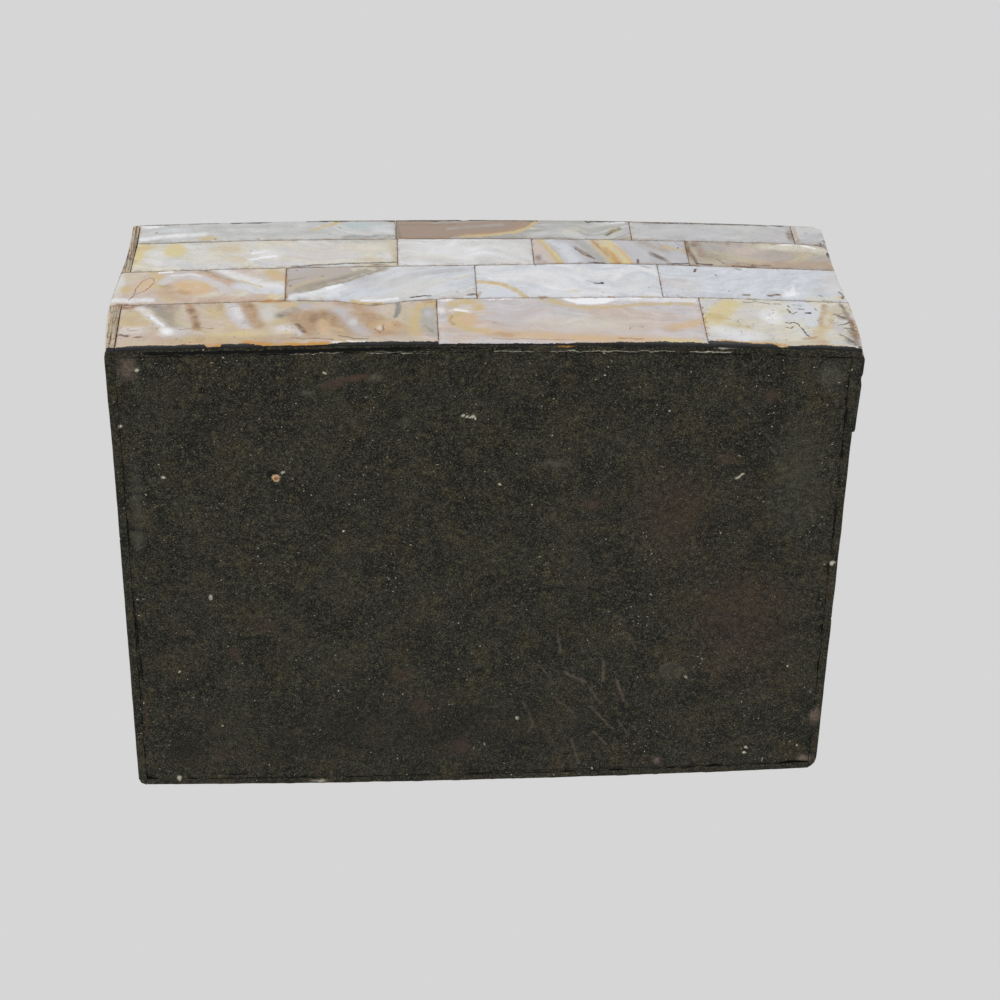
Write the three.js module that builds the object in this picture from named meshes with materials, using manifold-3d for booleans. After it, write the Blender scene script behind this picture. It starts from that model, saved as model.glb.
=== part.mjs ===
// A lidded wooden box skinned with mother-of-pearl tiles. Millimetres, +Z up, front towards -Y.
// The box is a little out of square, its long walls swell and its left end leans in.
// The tiles run round the walls in courses with staggered joints. The highest course, with
// the tiles on top, belongs to the lid, which lifts off.
import * as THREE from 'three';
import { mergeVertices } from 'three/addons/utils/BufferGeometryUtils.js';
import Module from 'manifold-3d';

// Outside
const LENGTH = 200.4;
const DEPTH_LEFT = 148.4;
const DEPTH_RIGHT = 144.4;
const HEIGHT = 70.6;
const FRONT_SWELL = 1.9;
const BACK_SWELL = 1.4;
const LEFT_LEAN = 2.1;
const LEAN_STARTS = 16;
const LEAN_ENDS = 64;
const LONG_WALL_LEAN = 0.3;
const LID_CROWN = 0.5;

// Shell skin
const TILE = 2.3;
const GAP = 0.3;
const SKIN = TILE + GAP;
const ARRIS = 0.4;
const GROOVE = 0.7;
const GROOVE_WIDTH = 0.5;
const TOP_STEP = 25;

// Wooden carcase
const BASE_BOARD = 6.5;
const CAVITY_LENGTH = 182;
const WALL_SETBACK = 9;
const LID_SEAM = 59.6;
const FIELD_DEPTH = 2.6;
const FIELD_CLEARANCE = 0.9;
const BOARD_STEPS = 8;

// Heights of the two joint lines below the lid: at the four corners in turn, starting front
// left and running by front right, back right and back left, then swells as [at, reach, rise].
const JOINT_LINES = [
  {
    corners: [24.4, 26.2, 25.6, 25.0],
    swells: {
      front: [[55, 28, 1.1], [-29, 8, -3.6]],
      right: [[20, 24, -0.9]],
      back: [[-46, 30, 0.9], [30, 22, -0.8]],
      left: [[-10, 26, 0.8]],
    },
  },
  {
    corners: [43.0, 44.6, 43.9, 43.4],
    swells: {
      front: [[38, 30, 1.4]],
      right: [[-24, 22, 0.7]],
      back: [[10, 34, -0.9]],
      left: [[26, 20, -0.6]],
    },
  },
];

// Upright joints of each course, lowest first, from the start of each side to its end.
const UPRIGHT_JOINTS = {
  front: [[-12.4, 59.5], [-53.5, -1.3, 49.8], [-22.6, 15.4, 59.1], [-22.9, 44.1, 90.9]],
  right: [[-46.5, 17], [-12], [-34, 31], [8]],
  back: [[-34, 38], [-61, 2, 54], [-22, 47], [-47, 26]],
  left: [[14], [-31, 30], [-8], [23]],
};

// Which courses of a side run through to the outside at its first and its last corner.
const RUNS_THROUGH = {
  front: { start: [false, true, false, false], end: [true, true, true, true] },
  right: { start: [false, false, false, false], end: [true, false, true, false] },
  back: { start: [false, true, false, true], end: [false, true, false, true] },
  left: { start: [true, false, true, false], end: [true, false, true, true] },
};

// The lowest front tile of the right end stands proud of its neighbour.
const PROUD_TILES = { right_row1_tile1: 0.7 };

// Joints across the lid's top rows, front row first.
const TOP_JOINTS = [[-36, 31], [-64, 5, 60], [-22, 46], [-57, 13, 68], [-31, 37], [-68, -4, 52]];

const { lerp, mapLinear, smoothstep } = THREE.MathUtils;
const HALF = LENGTH / 2;

// Outer faces of the skin; depth is measured inwards from them.
const leftX = (z, depth = 0) =>
  -HALF + LEFT_LEAN * smoothstep(z, LEAN_STARTS, LEAN_ENDS) + depth;
const rightX = (z, depth = 0) => HALF - depth;
const halfDepth = (x) => mapLinear(x, -HALF, HALF, DEPTH_LEFT / 2, DEPTH_RIGHT / 2);
const swell = (x, rise) => rise * (1 - (x / HALF) ** 2);
const lean = (z) => LONG_WALL_LEAN * (z / HEIGHT);
const frontY = (x, z, depth = 0) => -halfDepth(x) - swell(x, FRONT_SWELL) + lean(z) + depth;
const backY = (x, z, depth = 0) => halfDepth(x) + swell(x, BACK_SWELL) - lean(z) - depth;
const topZ = (x) => HEIGHT + swell(x, LID_CROWN);

// The four sides, in order round the box. u runs along a side with the outside on the right
// hand; start and end give where the neighbouring sides' faces, or depths behind them, cut it.
// The joint lines of a side bend only at multiples of its step.
const SIDES = {
  front: {
    place: (u, z, depth) => [u, frontY(u, z, depth), z],
    start: (z, depth) => leftX(z, depth),
    end: (z, depth) => rightX(z, depth),
    top: (u) => topZ(u),
    step: 10,
  },
  right: {
    place: (u, z, depth) => [rightX(z, depth), u, z],
    start: (z, depth) => frontY(HALF, z, depth),
    end: (z, depth) => backY(HALF, z, depth),
    top: () => topZ(HALF),
    step: 20,
  },
  back: {
    place: (u, z, depth) => [-u, backY(-u, z, depth), z],
    start: (z, depth) => -rightX(z, depth),
    end: (z, depth) => -leftX(z, depth),
    top: (u) => topZ(u),
    step: 20,
  },
  left: {
    place: (u, z, depth) => [leftX(z, depth), -u, z],
    start: (z, depth) => -backY(-HALF, z, depth),
    end: (z, depth) => -frontY(-HALF, z, depth),
    top: () => topZ(HALF),
    step: 20,
  },
};
const SIDE_NAMES = Object.keys(SIDES);

// Finishes
const SHELL_COLOURS = ['#d9d6d0', '#cfd2da', '#d8cbb8', '#c9c3bb', '#dcdad4', '#d3c2a8'];
const wood = () => new THREE.MeshStandardMaterial({ color: '#7a5334', roughness: 0.7 });
const blackLacquer = () => new THREE.MeshStandardMaterial({ color: '#23241f', roughness: 0.6 });
const shell = (index) =>
  new THREE.MeshStandardMaterial({
    color: SHELL_COLOURS[index % SHELL_COLOURS.length],
    roughness: 0.3,
    metalness: 0.05,
  });

const box = new THREE.Group();

function addPiece(name, geometry, material) {
  geometry.computeVertexNormals();
  const mesh = new THREE.Mesh(geometry, material);
  mesh.name = name;
  box.add(mesh);
}

// A block whose vertices are moved by place(column, row, isOuter), counted in whole steps.
function blockOf(columns, rows, place) {
  const geometry = new THREE.BoxGeometry(1, 1, 1, columns, rows, 1);
  const position = geometry.getAttribute('position');
  for (let i = 0; i < position.count; i += 1) {
    const column = Math.round((position.getX(i) + 0.5) * columns);
    const row = Math.round((position.getY(i) + 0.5) * rows);
    position.setXYZ(i, ...place(column, row, position.getZ(i) > 0));
  }
  return geometry;
}

// Where a slab's columns stand between two ends: close to each end for the arris, at every
// multiple of the step in between, and three to a groove.
function columnsBetween(low, high, step, grooves) {
  const columns = [low, low + ARRIS, high - ARRIS, high];
  const isClear = (u) =>
    u > low + 2 * ARRIS
    && u < high - 2 * ARRIS
    && grooves.every((at) => Math.abs(u - at) > 2 * GROOVE_WIDTH);
  for (let u = Math.ceil(low / step) * step; u < high; u += step) {
    if (isClear(u)) columns.push(u);
  }
  for (const at of grooves) columns.push(at - GROOVE_WIDTH, at, at + GROOVE_WIDTH);
  return columns.sort((a, b) => a - b);
}

// A shell slab over a patch of a face: its ends are low and high at each height, its edges
// lower and upper at each place along, and its outer arrises are taken off.
function slab(place, patch, { step, proud = 0, grooves = [] }) {
  const { low, high, lower, upper } = patch;
  const middle = (lower(0) + upper(0)) / 2;
  const columns = columnsBetween(low(middle), high(middle), step, grooves);
  const last = columns.length - 1;
  const tall = upper(0) - lower(0);
  const rows = [0, ARRIS / tall, 1 - ARRIS / tall, 1];
  return blockOf(last, rows.length - 1, (column, row, isOuter) => {
    let u = columns[column];
    const v = lerp(lower(u), upper(u), rows[row]);
    if (column === 0) u = low(v);
    if (column === last) u = high(v);
    const isEdge = column === 0 || column === last || row === 0 || row === rows.length - 1;
    const isGroove = grooves.includes(columns[column]);
    const relief = Math.max(isEdge ? ARRIS : 0, isGroove ? GROOVE : 0);
    return place(u, v, isOuter ? relief - proud : TILE);
  });
}

// The height of a joint line along a side, straight between multiples of the side's step.
function jointLine(line, sideName, u) {
  const { start, end, step } = SIDES[sideName];
  const corner = SIDE_NAMES.indexOf(sideName);
  const heightAt = (at) => {
    const from = line.corners[corner];
    const to = line.corners[(corner + 1) % line.corners.length];
    const swells = line.swells[sideName].map(
      ([centre, reach, rise]) => rise * Math.exp(-(((at - centre) / reach) ** 2)),
    );
    return mapLinear(at, start(0, 0), end(0, 0), from, to) + swells.reduce((a, b) => a + b);
  };
  const knot = Math.floor(u / step) * step;
  return mapLinear(u, knot, knot + step, heightAt(knot), heightAt(knot + step));
}

// The edges of the courses, from the foot of the box to the lid's top.
function courseEdges(sideName) {
  return [
    () => -GAP / 2,
    (u) => jointLine(JOINT_LINES[0], sideName, u),
    (u) => jointLine(JOINT_LINES[1], sideName, u),
    () => LID_SEAM,
    (u) => SIDES[sideName].top(u) + GAP / 2,
  ];
}

function sideTiles(sideName) {
  const side = SIDES[sideName];
  const edges = courseEdges(sideName);
  const runs = RUNS_THROUGH[sideName];
  UPRIGHT_JOINTS[sideName].forEach((joints, course) => {
    const first = (z) => side.start(z, runs.start[course] ? 0 : SKIN);
    const final = (z) => side.end(z, runs.end[course] ? 0 : SKIN);
    const cuts = [first, ...joints.map((at) => () => at), final];
    const isLid = course === UPRIGHT_JOINTS[sideName].length - 1;
    for (let k = 0; k + 1 < cuts.length; k += 1) {
      const name = isLid ? `lid_${sideName}_tile${k + 1}` : `${sideName}_row${course + 1}_tile${k + 1}`;
      const patch = {
        low: k === 0 ? first : () => joints[k - 1] + GAP / 2,
        high: k === joints.length ? final : () => joints[k] - GAP / 2,
        lower: (u) => edges[course](u) + GAP / 2,
        upper: (u) => edges[course + 1](u) - GAP / 2,
      };
      const proud = PROUD_TILES[name] ?? 0;
      const look = shell(course + 2 * k + sideName.length);
      addPiece(name, slab(side.place, patch, { step: side.step, proud }), look);
    }
  });
}

// One row of the lid's top, its tiles fused, with a groove at each joint.
function lidTopRow(index) {
  const rowLine = (k, x) => {
    const front = frontY(x, HEIGHT, SKIN - GAP / 2);
    const back = backY(x, HEIGHT, SKIN - GAP / 2);
    return lerp(front, back, k / TOP_JOINTS.length);
  };
  const patch = {
    low: () => leftX(HEIGHT, SKIN),
    high: () => rightX(HEIGHT, SKIN),
    lower: (x) => rowLine(index, x) + GAP / 2,
    upper: (x) => rowLine(index + 1, x) - GAP / 2,
  };
  const place = (x, y, depth) => [x, y, topZ(x) - depth];
  return slab(place, patch, { step: TOP_STEP, grooves: TOP_JOINTS[index] });
}

// A flat board filling the inside of the skin between two heights.
function insideBoard(bottom, top) {
  return blockOf(BOARD_STEPS, 1, (column, row, isOuter) => {
    const z = isOuter ? top(column) : bottom;
    const x = lerp(leftX(z, SKIN), rightX(z, SKIN), column / BOARD_STEPS);
    return [x, row === 0 ? frontY(x, z, SKIN) : backY(x, z, SKIN), z];
  });
}

// The long walls run from end to end; their inner faces are straight.
function longWall(sideName) {
  const side = SIDES[sideName];
  return blockOf(BOARD_STEPS, 1, (column, row, isOuter) => {
    const z = row === 0 ? BASE_BOARD + GAP : LID_SEAM - GAP;
    const u = lerp(side.start(z, SKIN), side.end(z, SKIN), column / BOARD_STEPS);
    const [x, y] = side.place(u, z, SKIN);
    const inner = (halfDepth(x) - WALL_SETBACK) * Math.sign(y);
    return [x, isOuter ? y : inner, z];
  });
}

// The end walls stand between the long walls.
function endWall(sideName) {
  const side = SIDES[sideName];
  return blockOf(1, 2, (column, row, isOuter) => {
    const z = lerp(BASE_BOARD + GAP, LID_SEAM - GAP, row / 2);
    const [outer] = side.place(0, z, SKIN);
    const x = isOuter ? outer : (CAVITY_LENGTH / 2) * Math.sign(outer);
    const reach = halfDepth(x) - WALL_SETBACK - GAP;
    const along = column === 0 ? -1 : 1;
    return [x, along * reach * Math.sign(outer), z];
  });
}

// The lid's board, with a raised field below that drops inside the walls.
async function lidBoard() {
  const wasm = await Module();
  wasm.setup();
  const solidOf = (geometry) => {
    geometry.deleteAttribute('normal');
    geometry.deleteAttribute('uv');
    const merged = mergeVertices(geometry);
    const vertProperties = new Float32Array(merged.getAttribute('position').array);
    const triVerts = new Uint32Array(merged.getIndex().array);
    return new wasm.Manifold(new wasm.Mesh({ numProp: 3, vertProperties, triVerts }));
  };
  const underTiles = (column) => {
    const x = lerp(leftX(HEIGHT, SKIN), rightX(HEIGHT, SKIN), column / BOARD_STEPS);
    return topZ(x) - SKIN;
  };
  const plate = insideBoard(LID_SEAM + GAP / 2, underTiles);
  const field = blockOf(1, 1, (column, row, isOuter) => {
    const x = (column === 0 ? -1 : 1) * (CAVITY_LENGTH / 2 - FIELD_CLEARANCE);
    const y = (row === 0 ? -1 : 1) * (halfDepth(x) - WALL_SETBACK - FIELD_CLEARANCE);
    return [x, y, isOuter ? LID_SEAM + FIELD_DEPTH : LID_SEAM - FIELD_DEPTH];
  });
  const joined = solidOf(plate).add(solidOf(field)).getMesh();
  const geometry = new THREE.BufferGeometry();
  geometry.setAttribute('position', new THREE.BufferAttribute(joined.vertProperties, 3));
  geometry.setIndex(new THREE.BufferAttribute(joined.triVerts, 1));
  return geometry;
}

addPiece('bottom_board', insideBoard(0, () => BASE_BOARD), blackLacquer());
addPiece('front_wall', longWall('front'), wood());
addPiece('back_wall', longWall('back'), wood());
addPiece('left_wall', endWall('left'), wood());
addPiece('right_wall', endWall('right'), wood());
addPiece('lid_board', await lidBoard(), wood());
SIDE_NAMES.forEach(sideTiles);
TOP_JOINTS.forEach((joints, index) => addPiece(`lid_top_row${index + 1}`, lidTopRow(index), shell(index)));

// The origin is the middle of the footprint, on the surface that the box stands on.
const middle = new THREE.Box3().setFromObject(box).getCenter(new THREE.Vector3());
box.position.set(-middle.x, -middle.y, 0);

export default box;
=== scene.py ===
"""A lidded wooden box skinned with mother-of-pearl tiles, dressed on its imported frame."""
import math
import random

import bmesh
import bpy
from bpy.props import FloatProperty, FloatVectorProperty, IntProperty, PointerProperty
from mathutils import Matrix, Vector, noise
from mathutils.bvhtree import BVHTree
from mathutils.kdtree import KDTree


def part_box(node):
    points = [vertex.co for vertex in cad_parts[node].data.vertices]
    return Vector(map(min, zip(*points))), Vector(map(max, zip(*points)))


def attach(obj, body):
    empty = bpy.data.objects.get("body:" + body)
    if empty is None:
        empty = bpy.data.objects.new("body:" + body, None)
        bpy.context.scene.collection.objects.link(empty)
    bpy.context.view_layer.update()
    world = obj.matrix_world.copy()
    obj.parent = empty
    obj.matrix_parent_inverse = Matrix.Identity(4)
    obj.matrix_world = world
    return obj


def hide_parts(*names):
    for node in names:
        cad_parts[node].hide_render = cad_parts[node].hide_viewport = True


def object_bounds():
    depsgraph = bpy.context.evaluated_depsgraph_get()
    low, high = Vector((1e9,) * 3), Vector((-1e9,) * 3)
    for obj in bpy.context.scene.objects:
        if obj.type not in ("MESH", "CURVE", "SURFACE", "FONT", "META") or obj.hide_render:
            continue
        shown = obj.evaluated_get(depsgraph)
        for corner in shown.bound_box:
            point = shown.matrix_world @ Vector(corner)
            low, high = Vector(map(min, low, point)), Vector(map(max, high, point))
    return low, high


bl_info = {
    "name": "Shell Tile Box",
    "version": (1, 0, 0),
    "blender": (4, 5, 0),
    "location": "3D View > Sidebar > Shell Box",
    "description": "Dresses a wooden box skinned with mother-of-pearl tiles",
    "category": "Object",
}

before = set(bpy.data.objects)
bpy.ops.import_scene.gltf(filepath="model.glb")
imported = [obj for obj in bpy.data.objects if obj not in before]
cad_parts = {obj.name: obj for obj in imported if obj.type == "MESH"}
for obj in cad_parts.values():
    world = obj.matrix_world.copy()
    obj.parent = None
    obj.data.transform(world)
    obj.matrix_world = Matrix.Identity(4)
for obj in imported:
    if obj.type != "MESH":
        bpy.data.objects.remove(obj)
CAD_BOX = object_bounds()

MM = 0.001
BODY = "root"
SIDES = ("front", "right", "back", "left")

# For each face of the box: the way out, and the two ways that its tiles are drawn in.
FACES = {
    "front": (Vector((0, -1, 0)), Vector((1, 0, 0)), Vector((0, 0, 1))),
    "right": (Vector((1, 0, 0)), Vector((0, 1, 0)), Vector((0, 0, 1))),
    "back": (Vector((0, 1, 0)), Vector((-1, 0, 0)), Vector((0, 0, 1))),
    "left": (Vector((-1, 0, 0)), Vector((0, -1, 0)), Vector((0, 0, 1))),
    "top": (Vector((0, 0, 1)), Vector((1, 0, 0)), Vector((0, 1, 0))),
    "under": (Vector((0, 0, -1)), Vector((1, 0, 0)), Vector((0, 1, 0))),
}


def shade(code):
    """The scene's own colour, with alpha, for a colour written as #rrggbb."""
    parts = [int(code[i : i + 2], 16) / 255 for i in (1, 3, 5)]
    return (*[p / 12.92 if p < 0.04045 else ((p + 0.055) / 1.055) ** 2.4 for p in parts], 1)


# The colours that shell and dirt are painted with.
PAINTS = {
    name: shade(code)
    for name, code in {
        "white": "#e9e9ec",
        # A painted highlight: the white of light reflected off the shell.
        "glint": "#fbfbff",
        "pearl": "#dad9d7",
        "silver": "#cbccca",
        "blue white": "#d8dce3",
        "aqua": "#b6c7ca",
        "lilac": "#bfb8bc",
        "pale lilac": "#d2cccd",
        "mist": "#c5c3c7",
        "dove": "#b9aea6",
        "pink": "#d2c1b6",
        "rose": "#c6a892",
        "cream": "#ddd7c5",
        "buff": "#cbbea4",
        "sand": "#cfb886",
        "yellow": "#dccb95",
        "peach": "#d8b78c",
        "tan": "#b3906a",
        "amber": "#c8923c",
        "drab": "#a39985",
        "mauve": "#a18b7a",
        "smoke": "#aeaca8",
        "slate": "#8c8a86",
        "taupe": "#85786a",
        "olive": "#8a7f55",
        "brown": "#6d4d30",
        "rust": "#8d5234",
        "umber": "#4c3a2a",
        "ink": "#1f1a16",
        "black": "#1c1c18",
        # Pale: the chips and dust on the underside, and the painted highlight along its front seam.
        "dust": "#cdc8b4",
        "haze": "#5e5d50",
        "wrinkle": "#61574a",
        "worn": "#7c6c62",
        "scuff": "#544338",
        # Near black: the black coating, and the painted shadow beside the plug underneath.
        "pit": "#080807",
    }.items()
}


# Small tools for node trees

def put(tree, kind, inputs=None, **settings):
    """Adds a node, with its settings, and its inputs linked or given values."""
    made = tree.nodes.new(kind)
    for name, value in settings.items():
        setattr(made, name, value)
    for socket, value in (inputs or {}).items():
        if isinstance(value, bpy.types.NodeSocket):
            tree.links.new(value, made.inputs[socket])
        else:
            made.inputs[socket].default_value = value
    return made


def maths(tree, operation, first, second=0.0, clamp=False):
    """One arithmetic operation on two values."""
    made = put(tree, "ShaderNodeMath", {0: first, 1: second}, operation=operation, use_clamp=clamp)
    return made.outputs[0]


def vector_maths(tree, operation, inputs, output=0):
    """One operation on vectors."""
    return put(tree, "ShaderNodeVectorMath", inputs, operation=operation).outputs[output]


def blend(tree, under, over, factor, how="MIX"):
    """One colour over another, as far as factor says."""
    inputs = {0: factor, 6: under, 7: over}
    made = put(tree, "ShaderNodeMix", inputs, data_type="RGBA", blend_type=how)
    return made.outputs[2]


def step(tree, value, low, high, first=0.0, last=1.0):
    """A smooth step from first to last as value goes from low to high."""
    inputs = {"Value": value, "From Min": low, "From Max": high, "To Min": first, "To Max": last}
    return put(tree, "ShaderNodeMapRange", inputs, interpolation_type="SMOOTHSTEP").outputs[0]


def coated(tree, colour, *coats):
    """A colour under coats, each a colour, a value, where along it the coat starts and is
    complete, and how strong it is there."""
    for over, value, start, complete, strength in coats:
        colour = blend(tree, colour, over, step(tree, value, start, complete, 0.0, strength))
    return colour


def cloud(tree, vector, scale, detail=2.0, rough=0.5, output=0):
    """Clouds of noise, as a value unless its colour is asked for."""
    inputs = {"Vector": vector, "Scale": scale, "Detail": detail, "Roughness": rough}
    return put(tree, "ShaderNodeTexNoise", inputs).outputs[output]


def moved(tree, vector, place=(0, 0, 0), scale=(1, 1, 1)):
    """A vector stretched by scale and moved by place."""
    inputs = {"Vector": vector, "Location": place, "Scale": scale}
    return put(tree, "ShaderNodeMapping", inputs).outputs[0]


def millimetres(tree):
    """Object coordinates in millimetres."""
    place = put(tree, "ShaderNodeTexCoord").outputs["Object"]
    return vector_maths(tree, "SCALE", {0: place, "Scale": 1 / MM})


def wobbled(tree, vector, scale, reach):
    """A vector pushed about by up to half of reach."""
    push = cloud(tree, vector, scale, output="Color")
    push = vector_maths(tree, "SUBTRACT", {0: push, 1: (0.5, 0.5, 0.5)})
    return vector_maths(tree, "MULTIPLY_ADD", {0: push, 1: (reach, reach, reach), 2: vector})


def new_group(name, inputs, outputs):
    """A node group with these sockets, and the group's input and output nodes."""
    group = bpy.data.node_groups.new(name, "ShaderNodeTree")
    for way, sockets in (("INPUT", inputs), ("OUTPUT", outputs)):
        for socket, kind in sockets.items():
            group.interface.new_socket(socket, in_out=way, socket_type="NodeSocket" + kind)
    return group, group.nodes.new("NodeGroupInput").outputs, group.nodes.new("NodeGroupOutput")


def new_material(name):
    """A material with an empty Principled shader: the material, its tree and the shader."""
    material = bpy.data.materials.new(name)
    material.use_nodes = True
    tree = material.node_tree
    return material, tree, tree.nodes["Principled BSDF"]


def set_bump(tree, shader, height, distance):
    """Raises a surface by height times distance, in metres."""
    inputs = {"Height": height, "Distance": distance, "Strength": 1.0}
    bump = put(tree, "ShaderNodeBump", inputs)
    tree.links.new(bump.outputs[0], shader.inputs["Normal"])


def set_inputs(shader, **values):
    """Sets a shader's inputs, their names written with underscores for spaces."""
    for name, value in values.items():
        shader.inputs[name.replace("_", " ")].default_value = value


def height_of(tree, vector):
    """The height of a place, in mm."""
    parts = put(tree, "ShaderNodeSeparateXYZ", {"Vector": vector})
    return parts.outputs["Z"]


# Marks

# How many marks one shader holds, the most parts a length is shared out in, and how far,
# in mm, a mark may be drawn off its place.
SHADER_LOAD = 36
MOST_PARTS = 16
WOBBLE_ROOM = 1.5

# The paint of the black coating where it laps over the foot of a tile, on top of its dirt.
LAP = "pit"

# A mark with an edge softer than this is painted unevenly.
HARD = 0.15


def mark_group(is_ring):
    """Paints one soft oval patch, or the outline of one, over a colour."""
    inputs = {
        "Vector": "Vector", "Under": "Color", "Over": "Color", "Place": "Vector",
        "Turn": "Vector", "Size": "Vector", "Outer": "Float", "Inner": "Float", "Strength": "Float",
    }
    name = "shell ring" if is_ring else "shell patch"
    group, given, result = new_group(name, inputs, {"Colour": "Color"})
    sockets = {
        "Vector": given["Vector"], "Location": given["Place"],
        "Rotation": given["Turn"], "Scale": given["Size"],
    }
    inside = put(group, "ShaderNodeMapping", sockets, vector_type="TEXTURE").outputs[0]
    far = vector_maths(group, "LENGTH", {0: inside}, "Value")
    if is_ring:
        far = maths(group, "ABSOLUTE", maths(group, "SUBTRACT", far, 1.0))
    factor = step(group, far, given["Outer"], given["Inner"])
    factor = maths(group, "MULTIPLY", factor, given["Strength"])
    group.links.new(blend(group, given["Under"], given["Over"], factor), result.inputs[0])
    return group


def run_group():
    """How far a place is from the straight run between two others, unless it is nearer already."""
    inputs = {
        "Vector": "Vector", "Start": "Vector", "Whole": "Vector", "Along": "Vector", "Far": "Float",
    }
    group, given, result = new_group("shell run", inputs, {"Far": "Float"})
    gone = vector_maths(group, "SUBTRACT", {0: given["Vector"], 1: given["Start"]})
    part = vector_maths(group, "DOT_PRODUCT", {0: gone, 1: given["Along"]}, "Value")
    part = maths(group, "MULTIPLY", part, 1.0, True)
    nearest = vector_maths(group, "SCALE", {0: given["Whole"], "Scale": part})
    far = vector_maths(group, "DISTANCE", {0: gone, 1: nearest}, "Value")
    group.links.new(maths(group, "MINIMUM", far, given["Far"]), result.inputs[0])
    return group


def figure_group():
    """The banded figure of mother-of-pearl in three tones, with its fine growth lines."""
    inputs = {
        "Vector": "Vector", "Seed": "Vector", "Turn": "Vector",
        "First": "Color", "Second": "Color", "Third": "Color",
    }
    group, given, result = new_group("shell figure", inputs, {"Colour": "Color", "Lines": "Float"})
    seeded = vector_maths(group, "ADD", {0: given["Vector"], 1: given["Seed"]})
    bent = wobbled(group, seeded, 0.035, 26.0)
    turned = put(group, "ShaderNodeMapping", {"Vector": bent, "Rotation": given["Turn"]}).outputs[0]
    bands = cloud(group, moved(group, turned, scale=(0.035, 0.16, 0.1)), 1.0, 2.0, 0.45)
    tone = coated(
        group, given["First"],
        (given["Second"], bands, 0.38, 0.56, 1.0), (given["Third"], bands, 0.57, 0.68, 0.85),
    )
    lines = cloud(group, moved(group, turned, scale=(0.05, 0.7, 0.3)), 1.0, 3.0, 0.6)
    light = step(group, lines, 0.25, 0.75, 0.88, 1.07)
    haze = cloud(group, seeded, 0.22, 3.0, 0.6)
    light = maths(group, "MULTIPLY", light, step(group, haze, 0.3, 0.7, 0.92, 1.05))
    grain = cloud(group, seeded, 1.3, 2.0, 0.6)
    light = maths(group, "MULTIPLY", light, step(group, grain, 0.3, 0.7, 0.95, 1.04))
    light = put(group, "ShaderNodeCombineColor", {0: light, 1: light, 2: light}).outputs[0]
    tone = blend(group, tone, light, 1.0, "MULTIPLY")
    group.links.new(tone, result.inputs["Colour"])
    group.links.new(lines, result.inputs["Lines"])
    return group


def dirt_group():
    """Brown specks, fine broken cracks, and cement smeared along the joints."""
    inputs = {
        "Vector": "Vector", "Under": "Color", "Seed": "Vector",
        "Specks": "Float", "Cracks": "Float", "Smear": "Float",
    }
    group, given, result = new_group("shell dirt", inputs, {"Colour": "Color", "Dirt": "Float"})
    seeded = vector_maths(group, "ADD", {0: given["Vector"], 1: given["Seed"]})
    rim = put(group, "ShaderNodeAttribute", attribute_name="rim").outputs["Fac"]
    where = step(group, cloud(group, seeded, 0.13, 2.0), 0.42, 0.66)
    spots = cloud(group, seeded, 1.5, 1.0)
    near = step(group, rim, 1.6, 0.3, 0.0, 0.09)
    spots = maths(group, "ADD", spots, maths(group, "MULTIPLY", near, where))
    thick = step(group, where, 0.0, 1.0, 0.35, 1.0)
    spots = maths(group, "MULTIPLY", step(group, spots, 0.69, 0.76), given["Specks"])
    spots = maths(group, "MULTIPLY", spots, thick)
    long = wobbled(group, moved(group, seeded, scale=(0.55, 1.6, 0.55)), 0.8, 1.2)
    cracks = cloud(group, long, 1.0, 4.0, 0.7)
    cracks = maths(group, "ABSOLUTE", maths(group, "SUBTRACT", cracks, 0.5))
    cracks = step(group, cracks, 0.012, 0.003)
    broken = step(group, cloud(group, seeded, 0.5, 2.0), 0.56, 0.62)
    cracks = maths(group, "MULTIPLY", maths(group, "MULTIPLY", cracks, broken), where)
    cracks = maths(group, "MULTIPLY", cracks, given["Cracks"])
    reach = cloud(group, seeded, 0.45, 3.0, 0.7)
    smear = maths(group, "SUBTRACT", rim, step(group, reach, 0.42, 0.75, 0.0, 1.6))
    smear = maths(group, "MULTIPLY", step(group, smear, 0.35, -0.35), given["Smear"])
    tone = blend(group, given["Under"], PAINTS["tan"], maths(group, "MULTIPLY", smear, 0.6))
    tone = blend(group, tone, PAINTS["umber"], maths(group, "MULTIPLY", smear, spots))
    close = step(group, rim, 0.2, 0.0, 0.0, 0.7)
    close = maths(group, "MULTIPLY", close, step(group, reach, 0.4, 0.62, 0.1, 1.0))
    dark = maths(group, "MAXIMUM", maths(group, "MAXIMUM", spots, cracks), close)
    tone = blend(group, tone, PAINTS["umber"], dark)
    group.links.new(tone, result.inputs["Colour"])
    group.links.new(maths(group, "MAXIMUM", dark, smear, True), result.inputs["Dirt"])
    return group


# The node groups that the tiles share, by name.
GROUPS = {}


def group_node(tree, name, inputs):
    """Adds one of the shared node groups."""
    return put(tree, "ShaderNodeGroup", inputs, node_tree=GROUPS[name])


def patch(u, v, length, width, paint, strength=0.8, soft=0.8, turn=0):
    """An oval patch: its middle in parts of the tile, and half its length and width in mm."""
    return ("patch", (u, v), (length, width), paint, strength, soft, turn)


def ring(u, v, length, width, paint, strength=0.8, thick=0.15, turn=0):
    """The outline of an oval patch, as thick as this part of its size."""
    return ("ring", (u, v), (length, width), paint, strength, thick, turn)


def band(places, width, paint, strength=0.8, soft=0.75):
    """A band along a line through places, in parts of the tile, and half its width in mm."""
    return ("band", places, width, paint, strength, soft, 0)


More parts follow.
